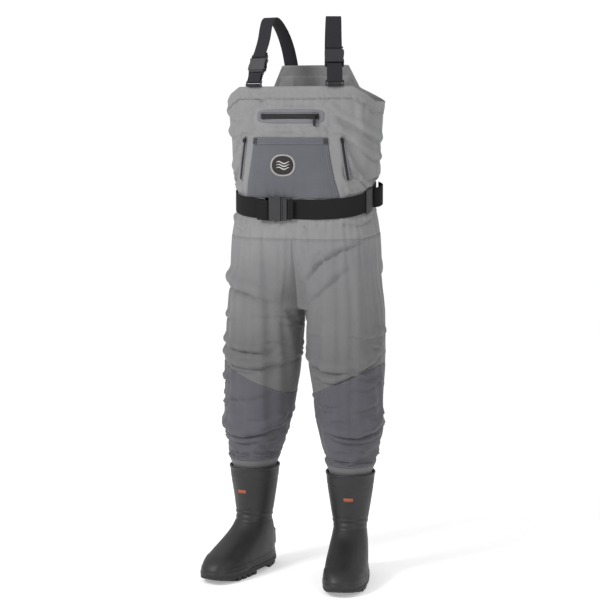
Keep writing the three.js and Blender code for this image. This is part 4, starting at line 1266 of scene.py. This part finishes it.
def weldedFrame(name, centre, inner, outer, slope=(0, 1), swap=()):
    rings = []
    for t, lift in ((0, 0.9), (0.06, 1.5), (0.5, 1.6), (0.9, 1.4), (1, 0.2)):
        ring = []
        for k in range(96):
            phi = 2 * math.pi * (k + 0.5) / 96
            ax, ay = roundedBox(phi, *inner)
            bx, by = roundedBox(phi, *outer, 4.5)
            x, z = lerp(ax, bx, t), lerp(ay, by, t)
            along = (slope[1], -slope[0])
            px = centre[0] + x * along[0] + z * slope[0]
            pz = centre[1] + x * along[1] + z * slope[1]
            ring.append(frontSpot(px, pz, lift))
        rings.append(ring)
    obj = outwards(loft(name, rings, tapeLook))
    if obj.data.polygons[30].normal.y > 0:
        obj.data.flip_normals()
    wall = obj.modifiers.new("wall", "SOLIDIFY")
    wall.thickness = 0.0006
    wall.offset = -1
    baked(obj)
    obj.data.shade_smooth()
    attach(obj, "garment")
    if swap:
        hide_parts(*swap)
    return obj


zipMiddle = (chestZip["x"], chestZip["z"])
weldedFrame("chestZipFrame", zipMiddle, (79, 9), (89, 17.5), swap=("chest_zip_frame",))


def toothGroup():
    tree = bpy.data.node_groups.new("teeth", "GeometryNodeTree")
    tree.interface.new_socket("Path", in_out="INPUT", socket_type="NodeSocketGeometry")
    kinds = {"Pitch": "NodeSocketFloat", "Size": "NodeSocketVector", "Look": "NodeSocketMaterial"}
    found = {}
    for key, kind in kinds.items():
        found[key] = tree.interface.new_socket(key, in_out="INPUT", socket_type=kind).identifier
    tree.interface.new_socket("Teeth", in_out="OUTPUT", socket_type="NodeSocketGeometry")
    given = addNode(tree, "NodeGroupInput").outputs
    curve = addNode(tree, "GeometryNodeMeshToCurve", {"Mesh": given["Path"]})
    spacing = {"Curve": curve.outputs[0], "Length": given["Pitch"]}
    even = result(tree, "GeometryNodeResampleCurve", spacing, mode="LENGTH")
    tangent = result(tree, "GeometryNodeInputTangent")
    turn = result(tree, "FunctionNodeAlignRotationToVector", {"Vector": tangent}, axis="Z")
    tooth = result(tree, "GeometryNodeMeshCube", {"Size": given["Size"]})
    points = {"Points": even, "Instance": tooth, "Rotation": turn}
    placed = result(tree, "GeometryNodeInstanceOnPoints", points)
    real = result(tree, "GeometryNodeRealizeInstances", {"Geometry": placed})
    dressed = result(tree, "GeometryNodeSetMaterial", {"Geometry": real, "Material": given["Look"]})
    out = addNode(tree, "NodeGroupOutput")
    tree.links.new(dressed, out.inputs["Teeth"])
    return tree, found


toothTree, toothSocket = toothGroup()
coil = plainMaterial("coil", "#1b1b1d", 0.4)


def zipTeeth(name, path, pitch, size):
    mesh = bpy.data.meshes.new(name)
    mesh.from_pydata([tuple(p) for p in path], [(i, i + 1) for i in range(len(path) - 1)], [])
    obj = bpy.data.objects.new(name, mesh)
    bpy.context.scene.collection.objects.link(obj)
    modifier = obj.modifiers.new("teeth", "NODES")
    modifier.node_group = toothTree
    for key, value in {"Pitch": pitch, "Size": size, "Look": coil}.items():
        modifier[toothSocket[key]] = value
    baked(obj)
    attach(obj, "garment")
    return obj


zipY = frontSpot(*zipMiddle).y * 1000 - shiftY


def tapePlace(i, j):
    x = lerp(-chestZip["half"], chestZip["half"], i)
    z = lerp(-chestZip["high"], chestZip["high"], j)
    dent = 0.9 * math.exp(-((z / 0.9) ** 2))  # where the teeth meet
    rise = 0.35 * abs(z / chestZip["high"]) ** 3
    return spot(chestZip["x"] + x, zipY - 1.9 + dent + rise, chestZip["z"] + z)


tape = gridSheet("chestZipTape", tapePlace, 76, 26, zipCloth, 1.0)
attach(tape, "garment")
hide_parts("chest_zip")
path = [spot(chestZip["x"] + x, zipY - 1.9, chestZip["z"]) for x in np.linspace(-75, 75, 151)]
zipTeeth("chestZipTeeth", path, 0.0016, (0.0042, 0.0012, 0.0009))
for name, body in (("chest_zip_slider", "chest_slider"), ("chest_zip_pull", "chest_pull")):
    piece = finishedNode(name, 0.35, zipMetal, angle=25)
    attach(piece, body)
handZip = {"topX": 127, "bottomX": 142, "top": 1117, "bottom": 1012}
zipRun, zipRise = handZip["bottomX"] - handZip["topX"], handZip["top"] - handZip["bottom"]
zipLong = math.hypot(zipRun, zipRise)
for side, sign in (("right", -1), ("left", 1)):
    middle = (sign * (handZip["topX"] + handZip["bottomX"]) / 2, (handZip["top"] + handZip["bottom"]) / 2)
    slope = (-sign * zipRun / zipLong, zipRise / zipLong)

    def stripPlace(i, j, sign=sign):
        z = lerp(handZip["bottom"], handZip["top"], j)
        x = sign * lerp(handZip["bottomX"], handZip["topX"], j) + lerp(-2.6, 2.6, i)
        return frontSpot(x, z, 1.9)

    strip = gridSheet(side + "HandZip", stripPlace, 4, 50, zipCloth, 0.8)
    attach(strip, "garment")
    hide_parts(f"{side}_hand_zip")
    weldedFrame(side + "HandZipTape", middle, (2.0, 51), (6.6, 56), slope=slope)
    path = []
    for t in np.linspace(0, 1, 60):
        x = sign * lerp(handZip["bottomX"], handZip["topX"], t)
        path.append(frontSpot(x, lerp(1014, 1108, t), 2.1))  # short of both ends of the strip
    zipTeeth(side + "HandZipTeeth", path, 0.0016, (0.003, 0.0012, 0.0009))
    piece = finishedNode(f"{side}_hand_zip_slider", 0.5, zipMetal)
    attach(piece, "garment")

badgeDark = fabricMaterial("badgeDark", "#232122", "#2c292a", rough=0.85, threadMm=0.6, bump=0.7)
badgeRim = fabricMaterial("badgeRim", "#8b8885", "#999693", threadMm=0.6, bump=0.8)  # overlocked edge
badgePale = fabricMaterial("badgePale", "#b5b1ab", "#c4c1bb", rough=0.8, threadMm=0.6, bump=0.8)
badge = {"x": -20, "z": 1048, "half": 33, "high": 27}


def badgeEdge(phi, share):
    w = math.sin(phi)
    u = power(math.cos(phi), 0.8)
    return badge["x"] + badge["half"] * share * u, badge["z"] + badge["high"] * share * w


def onPocket(x, z, extra):
    return pocketSpot((x - pocket["x"]) / pocketHalf(z), z, extra)


def patch(name, shares, lifts, look, shape=badgeEdge, count=64):
    phis = [2 * math.pi * k / count for k in range(count)]
    rings = [[onPocket(*shape(phi, share), lift) for phi in phis] for share, lift in zip(shares, lifts)]
    obj = outwards(loft(name, rings, look))
    facing = sum(p.normal.y for p in obj.data.polygons)
    if facing > 0:
        obj.data.flip_normals()
    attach(obj, "garment")
    return obj


ground = patch("badgeGround", (0.02, 0.3, 0.6, 0.97, 1.0), (1.25, 1.25, 1.25, 1.25, 0.1), badgeDark)
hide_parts("pocket_badge")
patch("badgeRim", (0.86, 0.89, 0.93, 0.97, 1.0, 1.01), (1.2, 1.9, 2.1, 2.0, 1.3, 0.1), badgeRim)


def waveShape(low):
    def shape(phi, share):
        t = phi / math.pi
        run, turn = (t, 1) if t < 1 else (2 - t, -1)
        x = lerp(-18, 18, run)
        width = 1.5 * math.sin(math.pi * min(max(run, 0.02), 0.98)) ** 0.5
        z = low + 2.6 * math.sin(run * 2.5 * math.pi) + turn * width * share
        return (badge["x"] + x, badge["z"] + z)

    return shape


for number, low in enumerate((7, 0, -7)):
    patch(f"badgeWave{number}", (0.0, 0.6, 1.0), (2.0, 1.9, 1.3), badgePale, waveShape(low), 48)

# ---- plain marks on the shafts of the boots
markOrange = plainMaterial("markOrange", "#8f4a2e", 0.6)  # printed rubber
for side, sign in (("right", -1), ("left", 1)):

    def markPlace(i, j, sign=sign):
        z = lerp(203, 212, j)
        phi = lerp(-0.22, 0.22, i)
        return bootPlace(sign, *bootPoint(phi, z, bootGrow(phi, z) + 0.35), z)

    mark = gridSheet(side + "MarkBar", markPlace, 14, 2, markOrange, 0.4)
    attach(mark, "garment")
print("pocket, zips and badge made")

# ---- floor, light and camera

floorLook, _, floorShader = newMaterial("stageFloorLook")
floorShader.inputs["Base Color"].default_value = linear("#f7f7f7")
floorShader.inputs["Roughness"].default_value = 0.9
floorShader.inputs["Emission Color"].default_value = (1, 1, 1, 1)
floorShader.inputs["Emission Strength"].default_value = 0.3
corners = [(x, y, -0.0005) for x, y in ((-6, -6), (6, -6), (6, 6), (-6, 6))]
stageFloor = toObject("stageFloor", corners, [(0, 1, 2, 3)], floorLook)

world = bpy.data.worlds.new("studio")
world.use_nodes = True
sky = world.node_tree.nodes["Background"]
sky.inputs["Color"].default_value = (1, 1, 1, 1)
seen = addNode(world.node_tree, "ShaderNodeLightPath").outputs["Is Camera Ray"]
world.node_tree.links.new(mapRange(world.node_tree, seen, 0, 1, 0.74, 1.02), sky.inputs["Strength"])
scene.world = world


def areaLight(name, place, aim, size, power):
    light = bpy.data.lights.new(name, "AREA")
    light.shape = "RECTANGLE"
    light.size, light.size_y = size
    light.energy = power
    obj = bpy.data.objects.new(name, light)
    obj.location = place
    obj.rotation_euler = (Vector(aim) - Vector(place)).to_track_quat("-Z", "Y").to_euler()
    scene.collection.objects.link(obj)


areaLight("keyLight", (-1.5, -2.3, 2.6), (0, 0, 1.0), (0.9, 1.1), 65)
areaLight("fillLight", (2.8, -2.2, 1.6), (0, 0, 0.7), (1.6, 2.2), 18)

camera = bpy.data.objects.new("camera", bpy.data.cameras.new("camera"))
camera.data.sensor_width = 36
camera.data.lens = 98.8
azimuth = math.radians(20)
pitch = math.radians(6.1)
right = Vector((math.cos(azimuth), math.sin(azimuth), 0))
backward = Vector((math.sin(azimuth), -math.cos(azimuth), 0))
camera.location = spot(0, 0, 1150) + backward * 4.2 - right * 0.015
look = -backward * math.cos(pitch) - Vector((0, 0, math.sin(pitch)))
camera.rotation_euler = look.to_track_quat("-Z", "Y").to_euler()
scene.collection.objects.link(camera)
scene.camera = camera
scene.view_settings.view_transform = "Standard"
